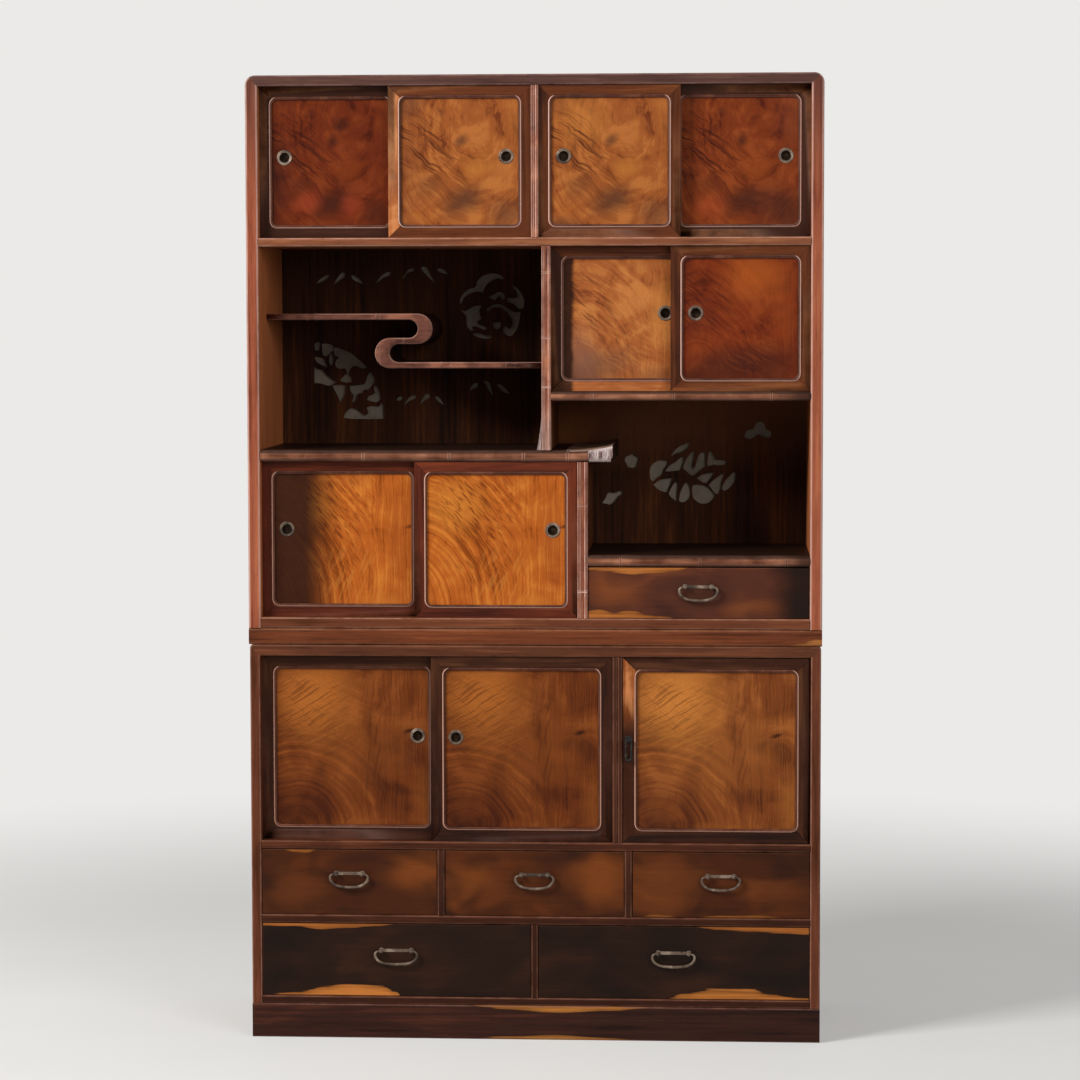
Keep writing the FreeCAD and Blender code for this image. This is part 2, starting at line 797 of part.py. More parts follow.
def sector(x, z, angle0, angle1, radius0, radius1):
    """One cell of a fan, between two angles and two radii."""
    def at(radius, degrees):
        turn = math.radians(degrees)
        return point(x + radius * math.cos(turn), y_openwork, z + radius * math.sin(turn))
    half = (angle0 + angle1) / 2
    return openwork_cutter([
        Part.Arc(at(radius1, angle0), at(radius1, half), at(radius1, angle1)).toShape(),
        Part.makeLine(at(radius1, angle1), at(radius0, angle1)),
        Part.Arc(at(radius0, angle1), at(radius0, half), at(radius0, angle0)).toShape(),
        Part.makeLine(at(radius0, angle0), at(radius1, angle0)),
    ])


def fuse_all(shapes):
    whole = shapes[0]
    for shape in shapes[1:]:
        whole = whole.fuse(shape)
    return whole


def motif(shape, centre, marks):
    """Marks of one kind, each given in motif units from the motif's centre."""
    cutters = []
    for mark in marks:
        places = [(centre[k % 2] if k < 4 else 0) + value * motif_unit for k, value in enumerate(mark)]
        cutters.append(shape(*places))
    return cutters


def discs(centre, marks):
    return [disc(centre[0] + x * motif_unit, centre[1] + z * motif_unit, r * motif_unit) for x, z, r in marks]


def plum_cutters(centre):
    """A plum flower roundel of crescents about one whole petal."""
    cutters = []
    for x, z, radius, bite_x, bite_z, bite_radius in plum_crescents:
        whole, bite = discs(centre, ((x, z, radius), (bite_x, bite_z, bite_radius)))
        cutters.append(whole.cut(bite))
    rim = Part.BSplineCurve()
    points = [point(centre[0] + x * motif_unit, y_openwork, centre[1] + z * motif_unit) for x, z in plum_petal]
    rim.interpolate(points, True)
    cutters.append(openwork_cutter([rim.toShape()]))
    return cutters + motif(drop, centre, plum_drops)


def fan_cutters(centre):
    """A quarter fan in cells, with leaves left standing across them."""
    x, z = centre
    radius = fan_radius * motif_unit
    leaves = []
    for degrees, distance, long_share, wide_share, turn in fan_leaf_shares:
        along = math.radians(degrees)
        slant = math.radians(turn)
        mid_x = x + distance * radius * math.cos(along)
        mid_z = z + distance * radius * math.sin(along)
        dx = long_share * radius * math.cos(slant) / 2
        dz = long_share * radius * math.sin(slant) / 2
        width = wide_share * long_share * radius
        leaves.append(blade(mid_x - dx, mid_z - dz, mid_x + dx, mid_z + dz, width))
    cells = []
    for angle0, angle1, inner, outer in fan_cell_shares:
        cells.append(cut_all(sector(x, z, angle0, angle1, inner * radius, outer * radius), leaves))
    return cells


def make_openwork_left():
    x0 = -inner_upper
    x1 = tall_post_x - partition_board / 2
    panel = box(x0, x1, y_openwork, y_openwork + openwork_board, z_niche, z_row_shelf)

    def centre(share):
        return x0 + share[0] * (x1 - x0), z_niche + share[1] * (z_row_shelf - z_niche)

    for share, drops in zip(sprig_shares, sprig_drops):
        panel = cut_all(panel, motif(drop, centre(share), drops))
    panel = cut_all(panel, plum_cutters(centre(plum_share)))
    panel = cut_all(panel, fan_cutters(centre(fan_share)))
    save("openwork_back_left", [panel])


def right_niche_outline():
    """The right niche's back, with its upper corner reaching in over the root-end shelf."""
    x0 = tall_post_x + partition_board / 2
    x_low = short_post_x + partition_board / 2
    return ((x_low, z_right_niche), (inner_upper, z_right_niche), (inner_upper, z_cupboard_shelf),
            (x0, z_cupboard_shelf), (x0, z_niche), (x_low, z_niche))


def make_openwork_right():
    x0 = tall_post_x + partition_board / 2
    panel = outline_block(right_niche_outline(), y_openwork, y_openwork + openwork_board)

    def centre(share):
        height = z_cupboard_shelf - z_right_niche
        return x0 + share[0] * (inner_upper - x0), z_right_niche + share[1] * height

    middle = centre(roundel_share)
    panel = cut_all(panel, motif(drop, middle, roundel_drops))
    panel = cut_all(panel, motif(blade, middle, roundel_blades))
    panel = cut_all(panel, motif(blade, centre(bird_share), bird_blades))
    middle = centre(cloud_share)
    cloud = fuse_all(discs(middle, cloud_puffs))
    panel = panel.cut(cut_all(cloud, discs(middle, (cloud_bite,))))
    petals = []
    for k in range(5):
        turn = math.radians(90 + 72 * k)
        petals.append((blossom_ring * math.cos(turn), blossom_ring * math.sin(turn), blossom_petal))
    panel = panel.cut(fuse_all(discs(centre(blossom_share), petals)))
    save("openwork_back_right", [panel])


def make_linings():
    y0 = y_openwork + openwork_board
    y1 = y0 + lining
    left = box(-inner_upper, tall_post_x - partition_board / 2, y0, y1, z_niche, z_row_shelf)
    save("openwork_linings", [left, outline_block(right_niche_outline(), y0, y1)])


# Doors

def framed_leaf(x0, x1, y0, thick, z0, z1, stile, pull_x=None, pull_z=None):
    """Four mitred members with a captive panel and a raised bead inside the rounded opening."""
    y1 = y0 + thick
    a0, a1 = x0 + stile, x1 - stile
    b0, b1 = z0 + stile, z1 - stile
    frame = box(x0, x1, y0, y1, z0, z1)
    outer_arris = [e for e in edges_in_front(frame, y0, z0 - overrun)]
    frame = frame.makeChamfer(door_arris, outer_arris)
    frame = frame.cut(rounded_block(a0, a1, y0 - overrun, y1 + overrun, b0, b1, door_corner))
    y_panel = y0 + panel_recess
    panel = box(a0 - panel_seat, a1 + panel_seat, y_panel, y_panel + panel_board, b0 - panel_seat, b1 + panel_seat)
    frame = frame.cut(panel)
    bead = rounded_block(a0, a1, y0 - bead_proud, y_panel, b0, b1, door_corner)
    bead = bead.cut(rounded_block(a0 + bead_width, a1 - bead_width, y0 - overrun, y_panel + overrun,
                                  b0 + bead_width, b1 - bead_width, door_corner - bead_width))
    bead = bead.makeChamfer(bead_chamfer, edges_in_front(bead, y0 - bead_proud, z0))
    if pull_x is not None:
        panel = panel.cut(rod(cup_radius, thick, point(pull_x, y0, pull_z), axis_y))
    reach = stile + door_corner
    left = outline_block(((x0, z0), (x0 + reach, z0 + reach), (x0 + reach, z1 - reach), (x0, z1)), y0, y1)
    right = outline_block(((x1, z0), (x1 - reach, z0 + reach), (x1 - reach, z1 - reach), (x1, z1)), y0, y1)
    stiles = [frame.common(left), frame.common(right)]
    rails = frame.cut(left).cut(right).Solids
    rails.sort(key=lambda s: s.CenterOfMass.z)
    return stiles, rails, bead, panel


def round_pull(x, y, z):
    """A turned cup with a flange: its flange lies on the panel at depth y."""
    profile = [
        point(x, y + cup_depth, z),
        point(x + cup_radius, y + cup_depth, z),
        point(x + cup_radius, y, z),
        point(x + pull_radius, y, z),
        point(x + pull_radius - pull_flange, y - pull_flange, z),
        point(x + cup_radius - cup_wall, y - pull_flange, z),
        point(x + cup_radius - cup_wall, y + cup_depth - cup_wall, z),
        point(x, y + cup_depth - cup_wall, z),
    ]
    face = Part.Face(Part.makePolygon(profile + profile[:1]))
    return face.revolve(point(x, y, z), axis_y, 360)


def sliding_door(name, x0, x1, y0, z_floor, z_head, stile, pull_x, pull_share):
    """A framed leaf with a short tongue below and a long one above, so that it lifts out."""
    z0 = z_floor + running_gap
    z1 = z_head - top_gap
    pull_z = z_floor + pull_share * (z_head - z_floor)
    stiles, rails, bead, panel = framed_leaf(x0, x1, y0, door_board_thick, z0, z1, stile, pull_x, pull_z)
    middle = y0 + door_board_thick / 2
    half = tongue / 2
    foot = box(x0, x1, middle - half, middle + half, z_floor - tongue_down, z0)
    head = box(x0, x1, middle - half, middle + half, z1, z_head + tongue_up)
    rails[0] = rails[0].fuse(foot).removeSplitter()
    rails[1] = rails[1].fuse(head).removeSplitter()
    save(name, stiles + rails + [bead, panel])
    save(name + "_pull", [round_pull(pull_x, y0 + panel_recess, pull_z)])


def door_pair(names, x0, x1, z0, z1, stile, overlap, share, pulls_meet, front_first=False):
    """Two leaves over one opening. Each pull stands near an outer edge, or near the meeting stiles."""
    width = (x1 - x0 + overlap) / 2
    depths = (y_door_front, y_door_rear) if front_first else (y_door_rear, y_door_front)
    if pulls_meet:
        pulls = (x0 + width - pull_inset, x1 - width + pull_inset)
    else:
        pulls = (x0 + pull_inset, x1 - pull_inset)
    sliding_door(names[0], x0, x0 + width, depths[0], z0, z1, stile, pulls[0], share)
    sliding_door(names[1], x1 - width, x1, depths[1], z0, z1, stile, pulls[1], share)


def make_sliding_doors():
    door_pair(("row_door_1", "row_door_2"), -inner_upper, row_left, z_row, z_upper_top,
              upper_stile, row_overlap, row_pull_share, False)
    door_pair(("row_door_3", "row_door_4"), row_right, inner_upper, z_row, z_upper_top,
              upper_stile, row_overlap, row_pull_share, False, True)
    door_pair(("right_cupboard_door_1", "right_cupboard_door_2"), tall_right, inner_upper,
              z_cupboard, z_row_shelf, upper_stile, right_overlap, right_pull_share, True)
    door_pair(("low_cupboard_door_1", "low_cupboard_door_2"), -inner_upper, short_left,
              z_low, z_root, upper_stile, low_overlap, low_pull_share, False)
    door_pair(("base_door_1", "base_door_2"), -inner_lower, door_post_left, z_base_doors, z_lower_top,
              base_stile, base_overlap, base_pull_share, True)


def hinged_axis():
    """The pivot line stands half the door's thickness in from its edge and from its face."""
    x = inner_lower - hinged_gap - hinged_board / 2
    return x, y_front + hinged_recess + hinged_board / 2


def pivot_socket(z, direction):
    """Hole for a pivot pin in the board above (1) or below (-1)."""
    x, y = hinged_axis()
    depth = pivot_in_board + running_gap
    return rod(pivot_radius + pivot_slack, depth, point(x, y, z), axis_z * direction)


def make_hinged_door():
    x, y = hinged_axis()
    x0 = door_post_right + hinged_gap
    x1 = inner_lower - hinged_gap
    y0 = y_front + hinged_recess
    z0 = z_base_doors + running_gap
    z1 = z_lower_top - top_gap
    half = hinged_board / 2
    stiles, rails, bead, panel = framed_leaf(x0, x1, y0, hinged_board, z0, z1, base_stile)
    round_edge = rod(half, z1 - z0, point(x, y, z0), axis_z)
    edge_block = box(x, x1, y0, y0 + hinged_board, z0, z1)
    corner = edge_block.cut(round_edge)
    pins = []
    for level, direction in ((z0, -1), (z1, 1)):
        inner = level - direction * pivot_in_door
        outer = (z_base_doors if direction < 0 else z_lower_top) + direction * pivot_in_board
        length = abs(outer - inner)
        pins.append(rod(pivot_radius, length, point(x, y, inner), axis_z * direction))
    stiles = [cut_all(s, [corner] + pins) for s in stiles]
    rails = [cut_all(r, [corner] + pins) for r in rails]
    drop_x = x0 + base_stile / 2
    drop_z = z_base_doors + drop_share * base_door_height
    post = drop_post(drop_x, y0, drop_z)
    hole = rod(drop_stem, hinged_board, point(drop_x, y0, drop_z), axis_y)
    stiles = [s.cut(hole) for s in stiles]
    save("hinged_door", stiles + rails + [bead, panel])
    save("hinged_door_fittings", pins + [post])
    save("drop_pull", [drop_ring(drop_x, y0 - drop_stand, drop_z)])


def drop_post(x, y, z):
    """A rose on the stile, a stem through it and a flat eye in front."""
    rose = rod(drop_rose, drop_rose_board, point(x, y - drop_rose_board, z), axis_y)
    start = drop_stand - drop_wire - drop_slack
    stem = rod(drop_stem, start + hinged_board, point(x, y - start, z), axis_y)
    eye = rod(drop_eye, drop_eye_width, point(x - drop_eye_width / 2, y - drop_stand, z), axis_x)
    post = rose.fuse(stem).fuse(eye)
    hole = rod(drop_wire + drop_slack, 2 * drop_eye, point(x - drop_eye, y - drop_stand, z), axis_x)
    return post.cut(hole).removeSplitter()


def drop_ring(x, y, z):
    """A long ring hanging from its straight top bar."""
    half = drop_width / 2
    foot = z - drop_length
    r = drop_bend
    turn = r * math.sqrt(0.5)
    path = [
        Part.makeLine(point(x, y, z), point(x + half - r, y, z)),
        Part.Arc(point(x + half - r, y, z), point(x + half - r + turn, y, z - r + turn),
                 point(x + half, y, z - r)).toShape(),
        Part.makeLine(point(x + half, y, z - r), point(x + half, y, foot + half)),
        Part.Arc(point(x + half, y, foot + half), point(x, y, foot), point(x - half, y, foot + half)).toShape(),
        Part.makeLine(point(x - half, y, foot + half), point(x - half, y, z - r)),
        Part.Arc(point(x - half, y, z - r), point(x - half + r - turn, y, z - r + turn),
                 point(x - half + r, y, z)).toShape(),
        Part.makeLine(point(x - half + r, y, z), point(x, y, z)),
    ]
    section = flat_section(drop_wire, point(x, y, z), axis_x)
    return Part.Wire(path).makePipeShell([section], True, False)


# Drawers

def make_drawer(name, x0, x1, z0, z1, bail_share, extra):
    """Lapped front, two sides, a back and a bottom held in grooves, with a bail pull."""
    a0, a1 = x0 + drawer_gap, x1 - drawer_gap
    b0, b1 = z0 + running_gap, z1 - top_gap
    y0 = y_front + drawer_recess
    y1 = y_back - drawer_back_gap
    bail_x = (x0 + x1) / 2
    bail_z = z0 + bail_share * (z1 - z0)
    half_posts = (bail_posts + extra) / 2
    front = box(a0, a1, y0, y0 + drawer_front, b0, b1)
    front = front.makeChamfer(drawer_arris, edges_in_front(front, y0, b0 - overrun))
    side_top = b1 - drawer_side_drop
    y_side = y0 + drawer_front - drawer_lap
    sides = [
        box(a0, a0 + drawer_side, y_side, y1, b0, side_top),
        box(a1 - drawer_side, a1, y_side, y1, b0, side_top),
    ]
    front = cut_all(front, sides)
    back = box(a0 + drawer_side, a1 - drawer_side, y1 - drawer_side, y1, b0 + drawer_lift, side_top)
    bottom = box(a0 + drawer_side - drawer_groove, a1 - drawer_side + drawer_groove,
                 y0 + drawer_front - drawer_groove, y1 - drawer_side + drawer_groove,
                 b0 + drawer_lift, b0 + drawer_lift + drawer_bottom)
    front = front.cut(bottom)
    back = back.cut(bottom)
    sides = [s.cut(bottom) for s in sides]
    for side in (-1, 1):
        hole = flat_rod(bail_stem, drawer_front, point(bail_x + side * half_posts, y0, bail_z), axis_y)
        front = front.cut(hole)
    save(name, [front] + sides + [back, bottom])
    save(name + "_bail_mounts", bail_mounts(bail_x, y0, bail_z, half_posts))
    save(name + "_bail", [bail(bail_x, y0 - bail_stand, bail_z, half_posts, (bail_width + extra) / 2)])


def post_knob(centre):
    """A facetted ball on the end of a post."""
    knob = flat_rod(bail_ball, 2 * bail_ball, centre - axis_y * bail_ball, axis_y)
    ends = [e for e in knob.Edges if abs(e.tangentAt(e.FirstParameter).dot(axis_y)) < match]
    return knob.makeChamfer(bail_ball * knob_chamfer_share, ends)


def bail_mounts(x, y, z, half_posts):
    """Two ball-ended posts through the front, clinched inside, and the slim strip under them."""
    reach = half_posts + strip_reach
    half = strip_height / 2
    strip = rounded_block(x - reach, x + reach, y - strip_board, y, z - half, z + half,
                          half * strip_round_share)
    posts = []
    for side in (-1, 1):
        centre = point(x + side * half_posts, y - bail_stand, z)
        stem = flat_rod(bail_stem, bail_stand + drawer_front, centre, axis_y)
        clinch = flat_rod(bail_clinch, bail_clinch_board, point(centre.x, y + drawer_front, z), axis_y)
        post = stem.fuse(post_knob(centre)).fuse(clinch)
        hole = rod(bail_pin + bail_slack, 2 * bail_ball, point(centre.x - bail_ball, centre.y, z), axis_x)
        posts.append(post.cut(hole).removeSplitter())
        strip = strip.cut(stem)
    return [strip] + posts


def bail(x, y, z, half_posts, half_width):
    """A wire that leaves the posts outwards, turns down and closes in a flat bow below."""
    wide = half_width - bail_wire
    r, c = bail_shoulder, bail_corner
    foot = z - bail_drop
    turn = math.sqrt(0.5)
    path = []
    for side in (-1, 1):
        outer = x + side * wide
        path.append([
            Part.Arc(point(outer - side * r, y, z), point(outer - side * r * (1 - turn), y, z - r * (1 - turn)),
                     point(outer, y, z - r)).toShape(),
            Part.makeLine(point(outer, y, z - r), point(outer, y, foot + c)),
            Part.Arc(point(outer, y, foot + c), point(outer - side * c * (1 - turn), y, foot + c * (1 - turn)),
                     point(outer - side * c, y, foot)).toShape(),
        ])
    bar = Part.makeLine(point(x - wide + c, y, foot), point(x + wide - c, y, foot))
    wire = Part.Wire(path[0] + [bar] + path[1][::-1])
    section = flat_section(bail_wire, point(x - wide + r, y, z), axis_x)
    body = wire.makePipeShell([section], True, False)
    for side in (-1, 1):
        shoulder = x + side * (wide - r)
        pin_end = x + side * (half_posts - bail_pin_end)
        body = body.fuse(rod(bail_pin, abs(shoulder - pin_end), point(shoulder, y, z), axis_x * -side))
    return body.removeSplitter()


def make_drawers():
    make_drawer("niche_drawer", short_right, inner_upper, z_low, z_drawer_shelf, niche_bail_share, 0)
    inner = small_divider_x - small_divider / 2
    outer = small_divider_x + small_divider / 2
    for name, x0, x1 in (("small_drawer_1", -inner_lower, -outer), ("small_drawer_2", -inner, inner),
                         ("small_drawer_3", outer, inner_lower)):
        make_drawer(name, x0, x1, z_small, z_door_board, small_bail_share, 0)
    half = large_divider / 2
    for name, x0, x1 in (("large_drawer_1", -inner_lower, -half), ("large_drawer_2", half, inner_lower)):
        make_drawer(name, x0, x1, z_large, z_drawer_board, large_bail_share, large_bail_extra)


make_upper_case()
make_sill()
make_moulding()
make_plinth()
make_lower_case()
make_lower_boards()
make_lower_dividers()
make_back_boards()
make_posts()
make_partitions()
make_row_shelf()
make_bamboo_shelves()
make_root_shelf()
make_staggered_shelf()
make_openwork_left()
make_openwork_right()
make_linings()
make_sliding_doors()
make_hinged_door()
make_drawers()
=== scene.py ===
import math

import bmesh
import bpy
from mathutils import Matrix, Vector


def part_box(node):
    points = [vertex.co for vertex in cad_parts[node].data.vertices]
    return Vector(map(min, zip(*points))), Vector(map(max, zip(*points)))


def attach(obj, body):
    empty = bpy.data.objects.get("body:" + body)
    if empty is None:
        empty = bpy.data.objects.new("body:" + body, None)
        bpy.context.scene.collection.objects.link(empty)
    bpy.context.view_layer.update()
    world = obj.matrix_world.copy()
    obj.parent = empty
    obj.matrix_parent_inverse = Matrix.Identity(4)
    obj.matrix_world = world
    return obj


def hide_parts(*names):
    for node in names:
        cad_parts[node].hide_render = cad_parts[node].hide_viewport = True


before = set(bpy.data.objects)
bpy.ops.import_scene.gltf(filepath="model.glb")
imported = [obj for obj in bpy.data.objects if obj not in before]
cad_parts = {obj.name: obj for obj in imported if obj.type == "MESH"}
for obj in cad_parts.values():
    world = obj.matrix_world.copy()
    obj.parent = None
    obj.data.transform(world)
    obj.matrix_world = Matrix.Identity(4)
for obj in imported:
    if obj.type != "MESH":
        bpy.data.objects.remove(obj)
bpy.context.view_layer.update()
mm = 0.001


def deselectAll():
    if bpy.context.mode != "OBJECT":
        bpy.ops.object.mode_set(mode="OBJECT")
    bpy.ops.object.select_all(action="DESELECT")


def choose(*pieces):
    deselectAll()
    for piece in pieces:
        piece.select_set(True)
    bpy.context.view_layer.objects.active = pieces[0]


def edit(piece):
    choose(piece)
    bpy.ops.object.mode_set(mode="EDIT")


def pick(kind, test):
    bpy.ops.mesh.select_mode(type=kind)
    bpy.ops.mesh.select_all(action="DESELECT")
    mesh = bmesh.from_edit_mesh(bpy.context.edit_object.data)
    for item in {"FACE": mesh.faces, "EDGE": mesh.edges, "VERT": mesh.verts}[kind]:
        if test(item):
            item.select_set(True)
    mesh.select_flush_mode()
    bmesh.update_edit_mesh(bpy.context.edit_object.data)


def runs(edge, axis):
    # an edge that runs along x (0), y (1) or z (2)
    way = edge.verts[1].co - edge.verts[0].co
    return abs(way[axis]) > 0.999 * way.length


def atLevel(item, axis, level):
    return all(abs(corner.co[axis] - level) < 0.02 * mm for corner in item.verts)


def applied():
    bpy.ops.object.transform_apply(location=True, rotation=True, scale=True)
    return bpy.context.active_object


def block(x0, x1, y0, y1, z0, z1):
    deselectAll()
    middle = ((x0 + x1) / 2, (y0 + y1) / 2, (z0 + z1) / 2)
    bpy.ops.mesh.primitive_cube_add(size=1, location=middle, scale=(x1 - x0, y1 - y0, z1 - z0))
    return applied()


def bar(way, middle, radius, length, sides):
    # a round bar along x, y or z
    deselectAll()
    turn = {"x": (0, math.pi / 2, 0), "y": (math.pi / 2, 0, 0), "z": (0, 0, 0)}[way]
    bpy.ops.mesh.primitive_cylinder_add(vertices=sides, radius=radius, depth=length,
                                        location=middle, rotation=turn)
    return applied()


def barForward(x, y, z, radius, length, sides):
    # from depth y towards the viewer
    return bar("y", (x, y - length / 2, z), radius, length, sides)


def arris(piece, width, segments=2, angle=35):
    choose(piece)
    bevel = piece.modifiers.new("arris", "BEVEL")
    bevel.width = width
    bevel.segments = segments
    bevel.limit_method = "ANGLE"
    bevel.angle_limit = math.radians(angle)
    bpy.ops.object.modifier_apply(modifier=bevel.name)


def cutAway(piece, tool):
    choose(piece)
    cut = piece.modifiers.new("cut", "BOOLEAN")
    cut.operation = "DIFFERENCE"
    cut.solver = "EXACT"
    cut.object = tool
    bpy.ops.object.modifier_apply(modifier=cut.name)
    bpy.data.objects.remove(tool)


def sliceAt(axis, levels):
    # cuts the whole mesh in edit mode at these levels along one axis
    normal = [0, 0, 0]
    normal[axis] = 1
    for level in levels:
        place = [0, 0, 0]
        place[axis] = level
        bpy.ops.mesh.select_all(action="SELECT")
        bpy.ops.mesh.bisect(plane_co=place, plane_no=normal)


def joined(pieces):
    choose(*pieces)
    bpy.ops.object.join()
    return bpy.context.active_object


def copyTo(piece, shift):
    choose(piece)
    bpy.ops.object.duplicate()
    bpy.ops.transform.translate(value=shift)
    return applied()


def settle(piece, name, body, materials=(), nodes=(), angle=32):
    piece.name = name
    piece.data.name = name
    if materials:
        piece.data.materials.clear()
        for material in materials:
            piece.data.materials.append(material)
    edit(piece)
    bpy.ops.mesh.select_all(action="SELECT")
    bpy.ops.mesh.remove_doubles(threshold=0.01 * mm)
    bpy.ops.mesh.normals_make_consistent(inside=False)
    choose(piece)
    bpy.ops.object.shade_smooth_by_angle(angle=math.radians(angle))
    # flat faces stay flat beside their rounded arrises
    flats = piece.modifiers.new("flats", "WEIGHTED_NORMAL")
    flats.keep_sharp = True
    flats.weight = 100
    bpy.ops.object.modifier_apply(modifier=flats.name)
    deselectAll()
    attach(piece, body)
    if nodes:
        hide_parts(*nodes)
    return piece


def colour(text):
    parts = [int(text[k:k + 2], 16) / 255 for k in (1, 3, 5)]
    return [p / 12.92 if p <= 0.04045 else ((p + 0.055) / 1.055) ** 2.4 for p in parts] + [1]


def fill(tree, node, inputs):
    # values go to sockets by name or number; a node given as a value is linked from its first live output
    for key, value in inputs.items():
        named = [socket for socket in node.inputs if socket.enabled and socket.name == key]
        socket = node.inputs[key] if isinstance(key, int) else named[0]
        if isinstance(value, bpy.types.Node):
            value = [output for output in value.outputs if output.enabled][0]
        if isinstance(value, bpy.types.NodeSocket):
            tree.links.new(value, socket)
        else:
            socket.default_value = value


def addNode(tree, kind, inputs, **settings):
    node = tree.nodes.new(kind)
    for key, value in settings.items():
        setattr(node, key, value)
    fill(tree, node, inputs)
    return node


def maths(tree, operation, *values):
    return addNode(tree, "ShaderNodeMath", dict(enumerate(values)), operation=operation)


def vectors(tree, operation, *values):
    return addNode(tree, "ShaderNodeVectorMath", dict(enumerate(values)), operation=operation)


def scaled(tree, vector, factor):
    return addNode(tree, "ShaderNodeVectorMath", {0: vector, "Scale": factor}, operation="SCALE")


def axis(tree, vector, index):
    return addNode(tree, "ShaderNodeSeparateXYZ", {0: vector}).outputs[index]


def ranged(tree, value, start, end, low=0.0, high=1.0, curve="LINEAR"):
    # a value that goes from start to end becomes one that goes from low to high
    return addNode(tree, "ShaderNodeMapRange", {"Value": value, "From Min": start, "From Max": end,
                                                "To Min": low, "To Max": high}, interpolation_type=curve)


def blended(tree, factor, first, second, way="MIX"):
    return addNode(tree, "ShaderNodeMix", {"Factor": factor, "A": first, "B": second},
                   data_type="RGBA", blend_type=way)


def noise(tree, place, scale, detail, roughness=0.5, distortion=0.0):
    return addNode(tree, "ShaderNodeTexNoise", {"Vector": place, "Scale": scale, "Detail": detail,
                                                "Roughness": roughness, "Distortion": distortion})


def mapped(tree, place, **inputs):
    return addNode(tree, "ShaderNodeMapping", dict(inputs, Vector=place))


def ramp(tree, value, stops):
    node = addNode(tree, "ShaderNodeValToRGB", {"Fac": value})
    band = node.color_ramp
    band.interpolation = "EASE"
    while len(band.elements) < len(stops):
        band.elements.new(0.5)
    for element, (place, shade) in zip(band.elements, stops):
        element.position = place
        element.color = colour(shade) if isinstance(shade, str) else (shade, shade, shade, 1)
    return node


def newMaterial(name):
    material = bpy.data.materials.new(name)
    material.use_nodes = True
    tree = material.node_tree
    return material, tree, tree.nodes["Principled BSDF"], addNode(tree, "ShaderNodeTexCoord", {})


def finishWood(tree, shader, base, rough, height, look):
    # satin oil and lacquer: the grain lifts the roughness a little and stands a few hundredths of a mm
    bump = addNode(tree, "ShaderNodeBump", {"Strength": 0.35, "Distance": 0.35 * mm, "Height": height})
    fill(tree, shader, {"Base Color": base, "Normal": bump, "IOR": 1.5, "Coat Roughness": 0.3,
                        "Roughness": ranged(tree, rough, 0.3, 0.7, *look.get("rough", (0.40, 0.55))),
                        "Specular IOR Level": look.get("gloss", 0.08), "Coat Weight": look.get("coat", 0.02)})


def wornArrisAndHighlight(tree, place, normal, base, look):
    # rubbed edges and painted highlight: the surface normal leaves all three axes only on the rounded arrises,
    # which turn pale both as wear and as the highlight a lamp would put there
    turned = vectors(tree, "ABSOLUTE", normal)
    most = maths(tree, "MAXIMUM", axis(tree, turned, 0), axis(tree, turned, 1))
    most = maths(tree, "MAXIMUM", most, axis(tree, turned, 2))
    patch = ranged(tree, noise(tree, place, 1 / (38 * mm), 4.0, 0.65), 0.34, 0.60, 0.25, 1.0)
    mask = maths(tree, "MULTIPLY", ranged(tree, most, 0.985, 0.82), patch)
    mask = maths(tree, "MULTIPLY", mask, look["wearAndHighlight"])
    if "middle" in look:    # painted highlight: pale down the bead slopes that face away from the panel, fainter on those below, where the lamps would catch them
        aside = maths(tree, "SIGN", maths(tree, "SUBTRACT", axis(tree, place, 0), look["middle"]))
        flank = ranged(tree, maths(tree, "MULTIPLY", axis(tree, normal, 0), aside), 0.08, 0.4)
        low = maths(tree, "LESS_THAN", axis(tree, place, 2), look["level"])
        under = maths(tree, "MULTIPLY", ranged(tree, axis(tree, normal, 2), -0.08, -0.4, 0.0, 0.7), low)
        mask = maths(tree, "MAXIMUM", maths(tree, "MAXIMUM", mask, flank), under)
    return blended(tree, mask, base, colour(look["wornAndHighlight"]))


def sapStreak(tree, place, base, sap, wander):
    # a tongue of pale sapwood that hangs on one edge of a board; profile gives its depth by length
    edge, way, x0, x1, deepest, profile, shade = sap
    depth = ramp(tree, ranged(tree, axis(tree, place, 0), x0 * mm, x1 * mm), profile)
    reach = maths(tree, "MULTIPLY_ADD", maths(tree, "SUBTRACT", wander, 0.5), 0.9, depth)
    within = maths(tree, "SUBTRACT", axis(tree, place, 2), edge * mm)
    within = maths(tree, "MULTIPLY", within, way / (deepest * mm))
    inside = maths(tree, "SUBTRACT", reach, within)
    mask = maths(tree, "MULTIPLY", ranged(tree, inside, 0.0, 0.09), ranged(tree, depth, 0.02, 0.08))
    rim = ranged(tree, inside, 0.0, 0.5, 0.55, 1.0)
    lined = maths(tree, "MULTIPLY", ranged(tree, wander, 0.35, 0.62, 0.6, 1.15), rim)
    return blended(tree, mask, base, blended(tree, 1.0, colour(shade), lined, "MULTIPLY"))


def nearPoint(tree, place, centre, size, full, strength, turn=0):
    # strength round one point of the front, fading to nothing at size to either side
    away = vectors(tree, "SUBTRACT", place, (centre[0], 0, centre[1]))
    away = mapped(tree, away, Rotation=(0, math.radians(turn), 0))
    away = vectors(tree, "MULTIPLY", away, (1 / size[0], 0, 1 / size[1]))
    away = vectors(tree, "LENGTH", away).outputs["Value"]
    return ranged(tree, away, 1.0, full, 0.0, strength, "SMOOTHSTEP")


def softSpot(tree, place, base, centre, size, turn, strength, shade):
    # a soft-edged stain or glow
    return blended(tree, nearPoint(tree, place, centre, size, 0.1, strength, turn), base, colour(shade))


def paintedShadowSide(tree, place, base, look):
    # painted shadow down one side, where a case side or a post shades the surface: from clear to full, in mm
    # across the cabinet
    clear, full, strength, shade = look
    dark = ranged(tree, axis(tree, place, 0), clear * mm, full * mm, 0.0, strength, "SMOOTHSTEP")
    return blended(tree, dark, base, colour(shade))


